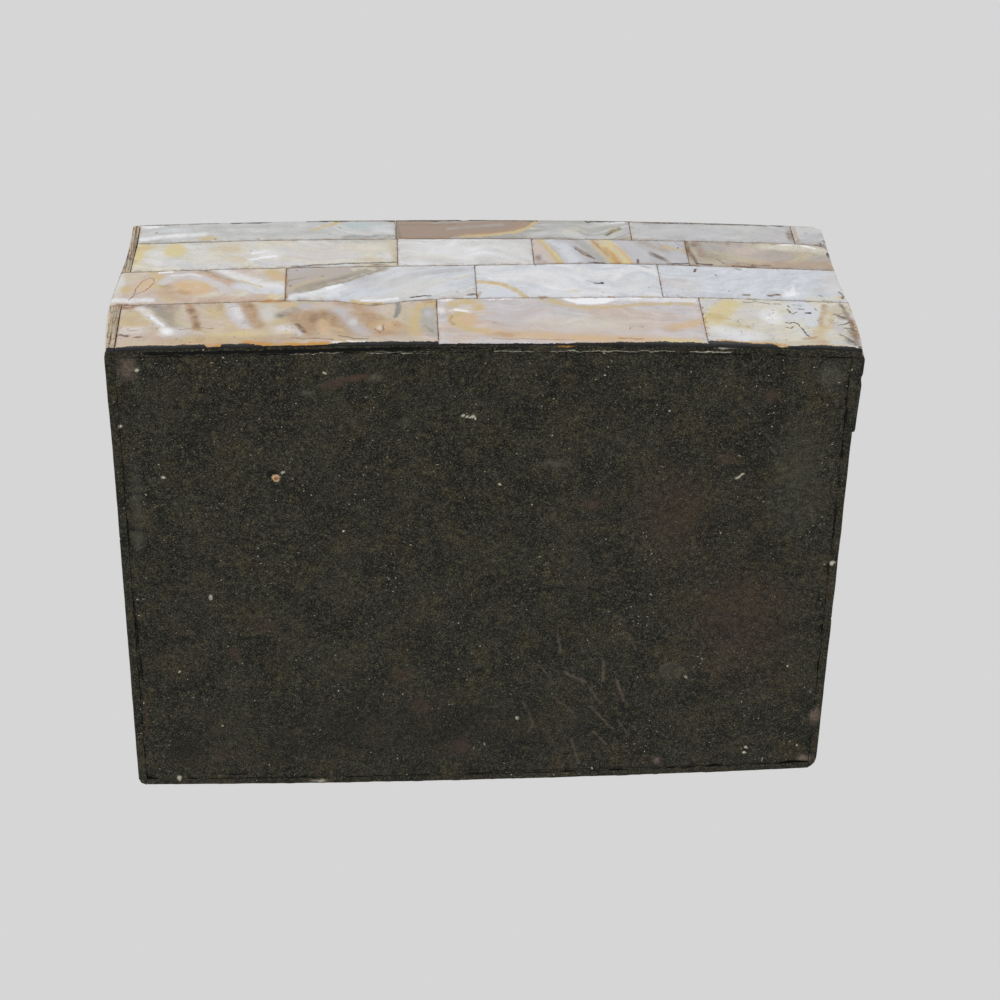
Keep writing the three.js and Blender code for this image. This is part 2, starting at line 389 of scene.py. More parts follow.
def add_mark(tree, mark, plane, colour, start, span, cover):
    """Paints a mark on a tile whose corner and size, in mm, are start and span.

    cover says how well the paint covers from place to place; a hard edged mark covers fully.
    """
    kind, at, extent, paint, strength, soft, turn = mark
    if soft > HARD:
        strength = maths(tree, "MULTIPLY", cover, strength)
    if kind == "band":
        places = [Vector([start[i] + place[i] * span[i] for i in (0, 1)] + [0]) for place in at]
        far = 1000.0
        for first, last in zip(places, places[1:]):
            whole = last - first
            inputs = {
                "Vector": plane, "Start": first, "Whole": whole,
                "Along": whole / whole.length_squared, "Far": far,
            }
            far = group_node(tree, "run", inputs).outputs[0]
        factor = step(tree, far, extent * (1 + soft), extent * (1 - soft))
        factor = maths(tree, "MULTIPLY", factor, strength, True)
        return blend(tree, colour, PAINTS[paint], factor)
    place = [start[i] + at[i] * span[i] for i in (0, 1)]
    outer, inner = (soft, 0.0) if kind == "ring" else (1 + soft / 2, 1 - soft)
    inputs = {
        "Vector": plane, "Under": colour, "Over": PAINTS[paint], "Place": (*place, 0),
        "Turn": (0, 0, math.radians(turn)), "Size": (*extent, 1), "Outer": outer, "Inner": inner,
        "Strength": strength,
    }
    return group_node(tree, kind, inputs).outputs[0]


def reach_of(mark, span):
    """How far a mark reaches along its tile, in parts of the tile, with room for its wobble."""
    kind, at, extent, _, _, soft, _ = mark
    places = [place[0] for place in at] if kind == "band" else [at[0]]
    size = extent if kind == "band" else max(extent)
    room = (size * (1 + soft) + WOBBLE_ROOM) / span
    return min(places) - room, max(places) + room


def load_of(marks):
    """How much of a shader marks take: a band's straight runs count one by one."""
    return sum(len(at) - 1 if kind == "band" else 1 for kind, at, *_ in marks)


def shared_out(marks, span, start=0.0, end=1.0):
    """The marks of each part of a length, in as few parts as the shaders can hold."""
    reaches = [(mark, reach_of(mark, span)) for mark in marks]
    for count in range(1, MOST_PARTS):
        width = (end - start) / count
        parts = []
        for index in range(count):
            low, high = start + index * width, start + (index + 1) * width
            parts.append([mark for mark, (a, b) in reaches if b > low and a < high])
        if max(load_of(part) for part in parts) <= SHADER_LOAD:
            break
    return parts


def face_plane(tree, vector, face):
    """A vector's two coordinates on a face of the box, the third left at nought."""
    _, along, up = FACES[face]
    parts = [
        vector_maths(tree, "DOT_PRODUCT", {0: vector, 1: way}, "Value") for way in (along, up)
    ]
    return put(tree, "ShaderNodeCombineXYZ", {0: parts[0], 1: parts[1]}).outputs[0]


def shell_material(name, face, low, span, look, marks, seed):
    """The mother-of-pearl of a tile: its figure, its own marks, then dirt."""
    material, tree, shader = new_material(name)
    place = millimetres(tree)
    shift = (seed * 37.0, seed * 71.0, seed * 13.0)
    flat = face_plane(tree, place, face)
    first, second, third = look["tones"]
    inputs = {
        "Vector": flat, "Seed": shift, "Turn": (0, 0, math.radians(look["flow"])),
        "First": PAINTS[first], "Second": PAINTS[second], "Third": PAINTS[third],
    }
    figure = group_node(tree, "figure", inputs)
    colour = figure.outputs["Colour"]
    plane = wobbled(tree, wobbled(tree, place, 0.12, 2.0), 0.6, 0.9)
    plane = wobbled(tree, plane, 2.2, 0.35)
    ragged = face_plane(tree, wobbled(tree, plane, 1.4, 0.9), face)
    plane = face_plane(tree, plane, face)
    cover = cloud(tree, wobbled(tree, flat, 0.4, 1.5), 0.35, 5.0, 0.7)
    cover = step(tree, cover, 0.32, 0.6, 0.5, 1.12)
    laps = [mark for mark in marks if mark[3] == LAP]
    for mark in marks:
        if mark not in laps:
            colour = add_mark(tree, mark, plane, colour, low, span, cover)
    inputs = {
        "Vector": flat, "Under": colour, "Seed": shift, "Specks": look["specks"],
        "Cracks": look["cracks"], "Smear": look["smear"],
    }
    dirt = group_node(tree, "dirt", inputs)
    colour = dirt.outputs["Colour"]
    for mark in laps:
        colour = add_mark(tree, mark, ragged, colour, low, span, cover)
    foot = height_of(tree, wobbled(tree, place, 0.8, 0.8))
    colour = coated(tree, colour, (PAINTS["pit"], foot, 0.8, 0.5, 1.0))
    tree.links.new(colour, shader.inputs["Base Color"])
    rough = cloud(tree, flat, 0.4, 3.0, 0.6)
    rough = step(tree, rough, 0.3, 0.7, 0.26, 0.42)
    rough = maths(tree, "ADD", rough, maths(tree, "MULTIPLY", dirt.outputs["Dirt"], 0.35), True)
    foot = step(tree, height_of(tree, place), 2.2, 1.2, 0.0, 0.6)
    rough = maths(tree, "ADD", rough, foot, True)
    tree.links.new(rough, shader.inputs["Roughness"])
    height = maths(tree, "MULTIPLY", figure.outputs["Lines"], 0.6)
    height = maths(tree, "SUBTRACT", height, maths(tree, "MULTIPLY", dirt.outputs["Dirt"], 0.5))
    set_bump(tree, shader, height, 0.08 * MM)
    set_inputs(shader, Specular_IOR_Level=0.55, Coat_Weight=0.15, Coat_Roughness=0.2)
    return material


def edge_material(name, across):
    """The sawn edge of the shell: thin brown and grey layers across one direction."""
    material, tree, shader = new_material(name)
    place = millimetres(tree)
    fine = [2.1 if i == across else 0.07 for i in range(3)]
    layers = cloud(tree, moved(tree, wobbled(tree, place, 0.3, 0.5), scale=fine), 1.0, 3.0, 0.6)
    stain = cloud(tree, place, 0.16, 3.0, 0.6)
    dirt = cloud(tree, wobbled(tree, place, 0.5, 1.5), 0.7, 4.0, 0.7)
    foot = height_of(tree, wobbled(tree, place, 0.6, 1.4))
    colour = coated(
        tree, shade("#75604b"),
        (shade("#d2bea3"), layers, 0.36, 0.6, 1.0), (shade("#b3aa9b"), stain, 0.45, 0.62, 0.6),
        (PAINTS["umber"], dirt, 0.52, 0.68, 0.9), (PAINTS["ink"], layers, 0.33, 0.27, 1.0),
        (PAINTS["pit"], foot, 2.5, 2.0, 1.0),
    )
    tree.links.new(colour, shader.inputs["Base Color"])
    set_bump(tree, shader, maths(tree, "ADD", layers, dirt), 0.4 * MM)
    set_inputs(shader, Roughness=0.62, Specular_IOR_Level=0.3)
    return material


def cement_material():
    """The dark brown cement in the joints and behind the tiles."""
    material, tree, shader = new_material("joint cement")
    place = millimetres(tree)
    grains = cloud(tree, place, 1.1, 4.0, 0.7)
    colour = coated(
        tree, shade("#4b3c2c"), (shade("#927a5c"), grains, 0.4, 0.7, 1.0),
        (PAINTS["black"], height_of(tree, place), 3.5, 2.5, 1.0),
    )
    tree.links.new(colour, shader.inputs["Base Color"])
    set_bump(tree, shader, grains, 0.3 * MM)
    set_inputs(shader, Roughness=0.85, Specular_IOR_Level=0.2)
    return material


def lacquer_material(name, marks):
    """Worn black coating: mottled greenish brown, pale dust specks, faint wrinkles, scuffs."""
    material, tree, shader = new_material(name)
    place = millimetres(tree)
    broad = cloud(tree, place, 0.06, 4.0, 0.65)
    fibres = cloud(tree, wobbled(tree, place, 0.3, 3.0), 0.5, 6.0, 0.8)
    fine = cloud(tree, wobbled(tree, place, 1.2, 0.6), 2.6, 2.0, 0.7)
    warm = cloud(tree, moved(tree, place, (40, 7, 0)), 0.09, 3.0, 0.6)
    crowd = cloud(tree, moved(tree, place, (3, 50, 0)), 0.07, 2.0, 0.6)
    specks = cloud(tree, wobbled(tree, place, 1.5, 0.8), 1.25, 1.0)
    specks = maths(tree, "ADD", specks, step(tree, crowd, 0.45, 0.7, 0.0, 0.06))
    colour = coated(
        tree, shade("#1a1c15"), (shade("#333228"), broad, 0.36, 0.64, 1.0),
        (shade("#3d3526"), warm, 0.5, 0.68, 0.75), (shade("#191d1c"), warm, 0.46, 0.34, 0.6),
        (shade("#5c573f"), fibres, 0.5, 0.68, 0.8), (shade("#050705"), fibres, 0.48, 0.36, 0.8),
        (shade("#6a6554"), fine, 0.52, 0.7, 0.9), (shade("#040404"), fine, 0.49, 0.33, 0.95),
        (shade("#b9b49f"), specks, 0.765, 0.80, 0.95),
    )
    plane = face_plane(tree, wobbled(tree, wobbled(tree, place, 0.7, 1.2), 2.4, 0.3), "under")
    cover = step(tree, fibres, 0.4, 0.56, 0.5, 1.15)
    for mark in marks:
        colour = add_mark(tree, mark, plane, colour, (0, 0), (1, 1), cover)
    tree.links.new(colour, shader.inputs["Base Color"])
    rough = step(tree, fine, 0.3, 0.7, 0.5, 0.75)
    tree.links.new(rough, shader.inputs["Roughness"])
    set_bump(tree, shader, maths(tree, "ADD", fibres, maths(tree, "MULTIPLY", fine, 0.5)), 0.3 * MM)
    set_inputs(shader, Specular_IOR_Level=0.15)
    return material


def wood_material(name, along):
    """Plain brown wood whose grain runs along one axis."""
    material, tree, shader = new_material(name)
    place = millimetres(tree)
    fine = [0.02 if i == along else 0.45 for i in range(3)]
    grain = cloud(tree, moved(tree, wobbled(tree, place, 0.03, 5.0), scale=fine), 1.0, 5.0, 0.65)
    pores = cloud(tree, moved(tree, place, scale=[f * 5 for f in fine]), 1.0, 2.0)
    colour = coated(
        tree, shade("#5b3a22"),
        (shade("#8a6240"), grain, 0.3, 0.7, 1.0), (shade("#2e1c11"), pores, 0.6, 0.75, 0.7),
    )
    tree.links.new(colour, shader.inputs["Base Color"])
    set_bump(tree, shader, maths(tree, "ADD", grain, pores), 0.15 * MM)
    set_inputs(shader, Roughness=0.62, Specular_IOR_Level=0.3)
    return material


def tile_look(tones, flow, specks, cracks, smear, marks):
    """What a tile shows: three tones, its figure's way in degrees, its dirt and its marks."""
    return {
        "tones": tones, "flow": flow, "specks": specks, "cracks": cracks, "smear": smear,
        "marks": marks,
    }


# What each tile of the front shows, from the foot up and from left to right.
# Marks in the near-white highlight colour are painted highlights: spots, streaks and lenses of
# reflected light.
FRONT_LOOKS = {
    "front_row1_tile1": tile_look(("buff", "pink", "sand"), 20, 0.8, 0.5, 0.9, [
        patch(0.7, 0.5, 11.0, 6.2, "tan", 0.95, 0.8),
        patch(0.35, 0.16, 26.0, 3.0, "tan", 0.65, 0.9),
        patch(0.82, 0.3, 14.0, 3.6, "tan", 0.6, 0.9),
        patch(0.62, 0.62, 8.0, 5.0, "brown", 0.35, 0.9),
        patch(0.1, 0.3, 9.0, 4.6, "rose", 0.6, 0.9), patch(0.4, 0.4, 12.0, 6.0, "sand", 0.6, 0.9),
        patch(0.05, 0.72, 5.5, 5.5, "sand", 0.55), patch(0.05, 0.42, 4.6, 3.0, "white", 0.45),
        patch(0.06, 0.16, 6.0, 2.4, "buff", 0.8), patch(0.035, 0.62, 2.6, 2.4, "tan", 0.5, 0.9),
        band([(0.0, 0.62), (0.05, 0.56), (0.1, 0.62)], 1.5, "sand", 0.7, 0.8),
        patch(0.15, 0.80, 3.6, 7.0, "mauve", 0.9, 0.5, -8),
        patch(0.19, 0.72, 2.6, 6.0, "buff", 0.7), patch(0.118, 0.9, 2.2, 2.6, "slate", 0.6),
        band([(0.06, 0.97), (0.10, 0.93)], 1.3, "taupe", 0.8),
        band([(0.14, 0.74), (0.165, 0.48)], 1.9, "drab", 0.8, 0.8),
        patch(0.19, 0.36, 4.4, 3.2, "pale lilac", 0.8),
        band([(0.06, 0.9), (0.09, 0.76), (0.125, 0.6), (0.15, 0.42)], 1.2, "white", 0.7, 0.95),
        # The glint band and glint patch below are painted highlights, light reflected off the white
        # streak.
        band([(0.1, 0.72), (0.14, 0.5)], 0.5, "glint", 0.7, 0.95),
        patch(0.15, 0.38, 2.4, 2.4, "glint", 0.9, 0.95),
        band([(0.215, 0.95), (0.225, 0.82), (0.24, 0.64), (0.25, 0.42)], 1.2, "tan", 0.95),
        patch(0.222, 0.82, 1.2, 1.8, "brown", 0.6), patch(0.238, 0.66, 0.9, 1.2, "umber", 0.6),
        patch(0.247, 0.5, 1.1, 2.4, "brown", 0.6), patch(0.30, 0.78, 4.6, 5.4, "sand", 0.7),
        patch(0.286, 0.93, 2.0, 2.0, "rose", 0.6), patch(0.314, 0.88, 1.1, 2.4, "tan", 0.7),
        band([(0.352, 0.95), (0.362, 0.75), (0.385, 0.6), (0.405, 0.48)], 2.2, "pale lilac", 1.0,
            0.4),
        band([(0.36, 0.85), (0.38, 0.66)], 1.2, "white", 0.7, 0.8),
        band([(0.34, 0.87), (0.365, 0.88)], 0.22, "slate", 0.8),
        patch(0.394, 0.53, 0.8, 0.4, "slate", 0.8),
        band([(0.385, 0.98), (0.405, 0.85), (0.42, 0.65), (0.435, 0.48)], 1.9, "tan", 0.9, 0.7),
        patch(0.405, 0.9, 1.2, 2.2, "brown", 0.35), patch(0.468, 0.72, 2.8, 5.4, "pearl", 0.7),
        patch(0.38, 0.28, 9.0, 1.8, "yellow", 0.7), patch(0.30, 0.18, 12.0, 2.2, "sand", 0.7),
        patch(0.262, 0.2, 1.6, 2.2, "tan", 0.6), patch(0.525, 0.9, 2.6, 1.8, "peach", 0.8),
        band([(0.505, 0.67), (0.53, 0.7), (0.55, 0.79)], 1.6, "drab", 0.8),
        band([(0.508, 0.67), (0.53, 0.7)], 0.9, "umber", 0.4, 0.8),
        patch(0.51, 0.56, 2.6, 1.3, "sand", 0.8), patch(0.65, 0.88, 6.0, 2.2, "pink", 0.7),
        patch(0.585, 0.88, 2.0, 2.2, "lilac", 0.9, 0.6),
        band([(0.56, 0.62), (0.6, 0.68), (0.64, 0.66), (0.68, 0.6)], 2.7, "tan", 0.85, 0.7),
        band([(0.59, 0.52), (0.6, 0.3)], 2.0, "tan", 0.8, 0.7),
        band([(0.64, 0.5), (0.645, 0.28)], 1.6, "peach", 0.8, 0.7),
        patch(0.615, 0.6, 1.6, 2.8, "brown", 0.45), patch(0.648, 0.66, 1.2, 1.8, "brown", 0.35),
        patch(0.565, 0.3, 1.3, 2.0, "pale lilac", 0.8),
        band([(0.563, 0.46), (0.58, 0.33)], 0.7, "brown", 0.85),
        patch(0.52, 0.38, 3.4, 2.6, "white", 0.65, 0.8), patch(0.525, 0.3, 1.8, 1.0, "yellow", 0.6),
        band([(0.69, 0.76), (0.71, 0.6), (0.74, 0.42), (0.77, 0.28)], 1.8, "mist", 0.8, 0.9),
        patch(0.735, 0.5, 1.6, 2.2, "pearl", 0.7),
        band([(0.66, 0.38), (0.7, 0.33)], 0.8, "sand", 0.7, 0.8),
        band([(0.7, 0.97), (0.74, 0.9), (0.77, 0.75), (0.8, 0.55), (0.84, 0.3)], 2.1, "tan", 0.95,
            0.9),
        patch(0.79, 0.8, 4.0, 2.6, "rose", 0.7), patch(0.84, 0.78, 2.4, 2.8, "pink", 0.9),
        patch(0.85, 0.42, 5.4, 3.2, "peach", 0.85), patch(0.875, 0.42, 2.0, 2.0, "tan", 0.7),
        patch(0.82, 0.38, 1.3, 1.5, "cream", 0.7),
        band([(0.805, 0.35), (0.82, 0.28), (0.83, 0.35), (0.825, 0.43)], 0.28, "rust", 0.8),
        band([(0.87, 0.95), (0.88, 0.84), (0.88, 0.7), (0.87, 0.6)], 0.7, "slate", 1.0, 0.6),
        patch(0.912, 0.72, 1.6, 5.4, "buff", 0.8),
        band([(0.925, 0.25), (0.93, 0.5), (0.938, 0.72), (0.95, 0.86), (1.0, 0.9)], 1.4, "sand",
            0.95, 0.7),
        patch(0.975, 0.95, 2.4, 1.4, "tan", 0.85),
        band([(0.975, 0.74), (0.97, 0.5), (0.99, 0.25)], 2.0, "smoke", 0.9, 0.6),
        patch(0.973, 0.68, 1.5, 2.4, "mist", 0.8),
        band([(0.965, 0.42), (0.985, 0.28)], 0.5, "olive", 0.5, 0.8),
        band([(0.54, 0.19), (0.62, 0.165), (0.67, 0.14)], 0.3, "rust", 0.7),
        band([(0.69, 0.22), (0.715, 0.2), (0.74, 0.15), (0.78, 0.14)], 0.25, "umber", 0.7),
        band([(0.0, 0.93), (0.025, 0.92), (0.05, 0.97)], 0.9, "rust", 0.85, 0.7),
        band([(-0.01, 0.3), (0.01, 0.35), (0.035, 0.3)], 0.4, "umber", 0.8),
        patch(0.033, 0.31, 1.0, 0.8, "brown", 0.8), patch(0.065, 0.27, 1.3, 0.5, "brown", 0.8, 0.6),
        patch(0.05, 0.42, 1.6, 0.4, "rust", 0.5, 0.8),
        band([(0.19, 0.42), (0.26, 0.44), (0.3, 0.42)], 0.2, "rust", 0.6, 0.8),
        patch(0.035, 0.46, 0.5, 0.3, "rust", 0.7), patch(0.122, 0.46, 0.4, 0.35, "umber", 0.8),
        band([(0.45, 0.98), (0.5, 0.965), (0.53, 0.985)], 0.6, "amber", 0.9, 0.7),
        band([(0.76, 0.95), (0.8, 0.92), (0.86, 0.96)], 0.5, "sand", 0.9, 0.7),
        band([(0.28, 0.05), (0.33, 0.045)], 1.2, "amber", 0.9),
        band([(0.4, 0.1), (0.46, 0.05), (0.55, 0.04), (0.65, 0.05)], 1.15, "amber", 0.95, 0.6),
        band([(0.0, 0.115), (0.27, 0.11)], 0.3, "peach", 0.7),
        band([(-0.02, 0.02), (0.1, 0.04), (0.265, 0.03)], 1.5, "pit", 1.0, 0.1),
        band([(0.34, 0.03), (0.39, 0.03), (0.44, -0.01)], 1.4, "pit", 1.0, 0.1),
        band([(0.64, -0.03), (0.69, 0.015), (0.8, 0.03), (1.02, 0.02)], 1.2, "pit", 1.0, 0.1),
        # The two glint bands below are painted highlights: short dashes of reflected light near the
        # foot.
        band([(0.672, 0.088), (0.70, 0.085)], 0.28, "glint", 1.0, 0.5),
        band([(0.72, 0.1), (0.77, 0.08)], 0.32, "glint", 1.0, 0.5),
    ]),
    "front_row1_tile2": tile_look(("pink", "pale lilac", "pink"), 3, 0.4, 0.2, 0.7, [
        patch(0.28, 0.7, 9.0, 5.6, "lilac", 0.35, 0.9),
        patch(0.6, 0.3, 22.0, 3.6, "pink", 0.8, 0.95),
        patch(0.55, 0.45, 16.0, 4.4, "cream", 0.5, 0.9),
        # The glint marks of this tile are painted highlights, the biggest a white lens of reflected
        # light at the top.
        patch(0.03, 0.93, 2.4, 1.6, "glint", 0.95, 0.6), patch(0.012, 0.68, 1.3, 2.6, "white", 0.9),
        band([(0.16, 0.96), (0.25, 0.91), (0.33, 0.95)], 0.5, "glint", 0.8),
        band([(0.06, 0.83), (0.1, 0.88), (0.14, 0.84), (0.155, 0.74)], 1.7, "sand", 0.95),
        patch(0.1, 0.5, 3.8, 4.4, "peach", 1.0, 0.5),
        band([(0.09, 0.64), (0.05, 0.54), (0.055, 0.42), (0.1, 0.33), (0.17, 0.27)], 1.2, "sand",
            0.95, 0.7),
        band([(0.055, 0.57), (0.04, 0.48), (0.06, 0.4)], 0.35, "tan", 0.8),
        band([(0.05, 0.69), (0.09, 0.72), (0.12, 0.67)], 0.8, "cream", 1.0),
        band([(0.065, 0.71), (0.11, 0.68)], 0.4, "glint", 0.95),
        band([(0.17, 0.27), (0.27, 0.21), (0.4, 0.17), (0.6, 0.12), (0.8, 0.1), (0.95, 0.09)], 1.8,
            "peach", 0.85, 0.8),
        patch(0.24, 0.21, 4.4, 1.7, "tan", 0.6),
        band([(0.2, 0.13), (0.35, 0.11), (0.5, 0.1)], 0.22, "tan", 0.8),
        band([(0.67, 0.14), (0.76, 0.125)], 0.25, "brown", 0.6),
        band([(0.39, 0.96), (0.44, 0.86)], 1.6, "buff", 0.8, 0.8),
        patch(0.58, 1.02, 9.0, 5.6, "glint", 1.0, 0.14),
        band([(0.7, 0.94), (0.8, 0.93), (0.9, 0.95), (1.0, 0.94)], 1.3, "white", 0.95, 0.7),
        band([(0.72, 0.955), (0.78, 0.94)], 0.5, "glint", 0.9),
        band([(0.43, 0.92), (0.48, 0.8), (0.55, 0.76), (0.62, 0.755), (0.7, 0.79), (0.8, 0.84),
            (0.97, 0.86)], 0.7, "sand", 0.85, 0.8),
        band([(0.88, 0.38), (0.94, 0.44), (1.0, 0.5)], 1.6, "peach", 0.8, 0.8),
        patch(0.88, 0.32, 4.0, 1.6, "rose", 0.5),
        band([(0.84, 0.11), (0.97, 0.09)], 1.0, "yellow", 0.8, 0.8),
        patch(0.72, 0.34, 0.3, 0.7, "brown", 0.8),
        patch(0.76, 0.37, 0.7, 0.25, "rust", 0.7, 0.8, -20),
        patch(0.21, 0.44, 0.4, 0.3, "umber", 0.5),
        band([(0.08, 0.985), (0.17, 0.985)], 0.35, "umber", 0.8),
        band([(0.22, 0.965), (0.3, 0.945), (0.37, 0.98)], 0.18, "umber", 0.7),
        band([(0.38, 0.98), (0.4, 0.93)], 0.3, "brown", 0.8),
        patch(0.53, 0.95, 0.6, 0.4, "smoke", 0.9),
        band([(0.0, -0.01), (0.5, 0.0)], 0.9, "pit", 1.0, 0.1),
        band([(0.5, 0.0), (0.75, 0.02), (0.85, 0.035), (1.02, 0.03)], 1.2, "pit", 1.0, 0.1),
        patch(0.47, 0.01, 1.6, 0.5, "amber", 0.9, 0.6),
    ]),
    "front_row1_tile3": tile_look(("pearl", "cream", "pearl"), -20, 0.9, 1.0, 1.0, [
        band([(0.05, 0.5), (0.09, 0.62), (0.14, 0.76), (0.2, 0.86)], 3.0, "yellow", 1.0, 0.6),
        patch(0.09, 0.6, 2.8, 2.4, "sand", 0.8),
        band([(0.08, 0.34), (0.2, 0.24), (0.32, 0.2)], 2.4, "white", 0.8, 0.8),
        band([(0.17, 0.47), (0.28, 0.4)], 1.2, "sand", 0.6, 0.8),
        patch(0.32, 0.7, 4.0, 4.0, "pale lilac", 0.6),
        # The glint patch below is a painted highlight, a soft pool of reflected light.
        patch(0.46, 0.62, 3.6, 4.4, "glint", 0.8, 0.9), patch(0.5, 0.84, 4.0, 2.0, "pearl", 0.7),
        band([(0.66, 0.92), (0.71, 0.76), (0.74, 0.58)], 3.4, "blue white", 1.0, 0.5),
        patch(0.6, 0.62, 2.6, 2.6, "blue white", 0.7), patch(0.55, 0.22, 7.0, 2.2, "cream", 0.9),
        band([(0.3, 0.13), (0.5, 0.11), (0.7, 0.13)], 1.0, "buff", 0.7, 0.8),
        band([(0.85, 0.9), (0.825, 0.75), (0.8, 0.6), (0.79, 0.46)], 0.7, "tan", 0.8, 0.9),
        band([(0.86, 0.72), (0.84, 0.5), (0.76, 0.36), (0.735, 0.22), (0.77, 0.1)], 1.7, "sand",
            0.75, 0.95),
        patch(0.75, 0.14, 2.0, 1.6, "rose", 0.8),
        band([(0.64, 0.2), (0.72, 0.24)], 0.7, "tan", 0.7), patch(0.9, 0.42, 2.0, 3.4, "mist", 0.8),
        patch(0.88, 0.15, 2.2, 2.4, "pale lilac", 0.8), patch(0.93, 0.78, 3.2, 4.0, "buff", 0.8),
        patch(0.955, 0.64, 1.6, 1.3, "brown", 0.7, 0.8, 20),
        band([(0.92, 0.7), (0.965, 0.62), (0.99, 0.5)], 0.45, "umber", 0.7),
        patch(0.975, 0.32, 1.6, 3.0, "brown", 0.9, 0.9),
        patch(0.95, 0.16, 2.4, 1.6, "umber", 0.65, 0.9, -40),
        band([(0.985, 0.62), (1.0, 0.3)], 0.8, "tan", 0.8, 0.8),
        patch(0.9, 0.72, 0.7, 0.4, "ink", 0.8), patch(0.945, 0.74, 0.6, 0.3, "rust", 0.7),
        band([(0.955, 0.92), (0.98, 0.7), (0.985, 0.4), (0.99, 0.12)], 0.6, "brown", 0.7, 0.9),
        band([(0.9, 0.5), (0.94, 0.52), (0.97, 0.56)], 0.25, "umber", 0.8, 0.6),
        band([(0.89, 0.3), (0.94, 0.22), (0.98, 0.1)], 0.35, "umber", 0.7, 0.8),
        band([(0.93, 0.44), (0.97, 0.43), (0.99, 0.38)], 0.2, "umber", 0.8),
        band([(0.585, 0.79), (0.595, 0.72), (0.615, 0.7), (0.635, 0.73)], 0.22, "ink", 0.95),
        band([(0.655, 0.8), (0.69, 0.8)], 0.28, "ink", 0.9),
        patch(0.717, 0.722, 1.1, 0.5, "ink", 1.0, 0.15),
        band([(0.545, 0.51), (0.57, 0.5), (0.6, 0.52), (0.625, 0.5), (0.645, 0.4), (0.66, 0.32),
            (0.68, 0.26)], 0.2, "ink", 0.95),
        band([(0.53, 0.42), (0.57, 0.41), (0.59, 0.45)], 0.2, "umber", 0.9),
        patch(0.44, 0.46, 0.5, 0.3, "slate", 0.9), patch(0.485, 0.775, 0.5, 0.3, "slate", 0.9),
        patch(0.78, 0.8, 0.4, 0.8, "slate", 0.8),
        band([(0.59, 0.87), (0.6, 0.84)], 0.25, "umber", 0.9),
        band([(0.3, 0.935), (0.36, 0.925)], 0.2, "umber", 0.7),
        band([(0.37, 0.95), (0.42, 0.92), (0.47, 0.9)], 0.22, "umber", 0.8),
        patch(0.52, 0.905, 1.4, 0.35, "olive", 0.95, 0.5),
        band([(0.05, 0.14), (0.2, 0.115), (0.4, 0.08)], 0.5, "amber", 0.9),
        band([(0.0, 0.07), (0.12, 0.07), (0.25, 0.045), (0.42, 0.015)], 1.5, "pit", 1.0, 0.1),
        band([(0.55, 0.01), (0.7, 0.035), (0.85, 0.03), (1.03, 0.0)], 1.3, "pit", 1.0, 0.1),
        band([(0.44, 0.06), (0.52, 0.04)], 1.0, "amber", 0.85),
        band([(0.6, 0.085), (0.9, 0.09)], 0.25, "peach", 0.8),
    ]),
    "front_row2_tile1": tile_look(("cream", "pink", "cream"), -25, 0.35, 0.1, 0.4, [
        patch(0.02, 0.6, 1.8, 8.0, "pearl", 0.9, 0.6),
        patch(0.1, 0.84, 3.0, 2.6, "buff", 0.95, 0.6), patch(0.07, 0.43, 2.4, 2.6, "sand", 0.9),
        patch(0.18, 0.56, 4.6, 3.4, "peach", 0.75, 0.7, 60),
        band([(0.21, 0.97), (0.25, 0.78), (0.255, 0.5), (0.28, 0.3), (0.34, 0.1)], 1.5, "sand", 0.9,
            0.8),
        band([(0.28, 0.3), (0.4, 0.12), (0.55, 0.06), (0.7, 0.1), (0.86, 0.03)], 1.6, "rose", 0.8,
            0.8),
        patch(0.45, 0.44, 6.6, 4.4, "peach", 1.0, 0.35, -12),
        band([(0.3, 0.52), (0.34, 0.36), (0.42, 0.3)], 1.5, "tan", 0.6, 0.8),
        patch(0.47, 0.6, 3.6, 0.9, "yellow", 0.7, 0.8, -14),
        band([(0.28, 0.62), (0.33, 0.8), (0.42, 0.83), (0.5, 0.76), (0.58, 0.6), (0.67, 0.34)], 1.4,
            "pale lilac", 1.0, 0.6),
        band([(0.33, 0.84), (0.42, 0.87), (0.5, 0.8)], 0.6, "white", 0.7, 0.8),
        patch(0.4, 0.95, 4.0, 0.9, "lilac", 0.6),
        # The glint band below is a painted highlight.
        band([(0.255, 0.93), (0.33, 0.965)], 0.5, "glint", 1.0, 0.5),
        band([(0.48, 0.94), (0.58, 0.76), (0.7, 0.55), (0.8, 0.35), (0.9, 0.06)], 1.2, "rose", 0.85,
            0.7),
        band([(0.5, 0.96), (0.6, 0.85), (0.68, 0.68), (0.76, 0.55)], 0.7, "drab", 0.8, 0.7),
        band([(0.53, 0.9), (0.62, 0.72), (0.7, 0.6)], 0.35, "tan", 0.8),
        band([(0.63, 0.9), (0.7, 0.73), (0.8, 0.56)], 0.6, "yellow", 1.0, 0.7),
        band([(0.62, 0.97), (0.72, 0.76), (0.85, 0.52), (1.0, 0.36)], 1.9, "white", 0.9, 0.95),
        band([(0.72, 0.5), (0.84, 0.3), (0.96, 0.28)], 1.5, "blue white", 0.9, 0.7),
        band([(0.74, 0.62), (0.86, 0.42)], 0.35, "sand", 0.7),
        patch(0.93, 0.85, 2.8, 2.5, "sand", 0.95, 0.5), patch(0.985, 0.96, 0.9, 0.8, "cream", 0.9),
        band([(0.94, 0.72), (1.0, 0.66)], 1.3, "peach", 0.85, 0.8),
        patch(0.93, 0.13, 3.0, 1.6, "yellow", 0.6),
        band([(0.9, 0.02), (0.99, 0.02)], 0.5, "amber", 0.9),
        band([(0.0, 0.16), (0.1, 0.12), (0.22, 0.1)], 1.1, "white", 0.9),
        band([(0.03, 0.02), (0.09, 0.015)], 0.5, "rust", 0.8),
        band([(0.1, 0.14), (0.115, 0.25), (0.125, 0.45), (0.16, 0.66), (0.2, 0.77), (0.225, 0.74)],
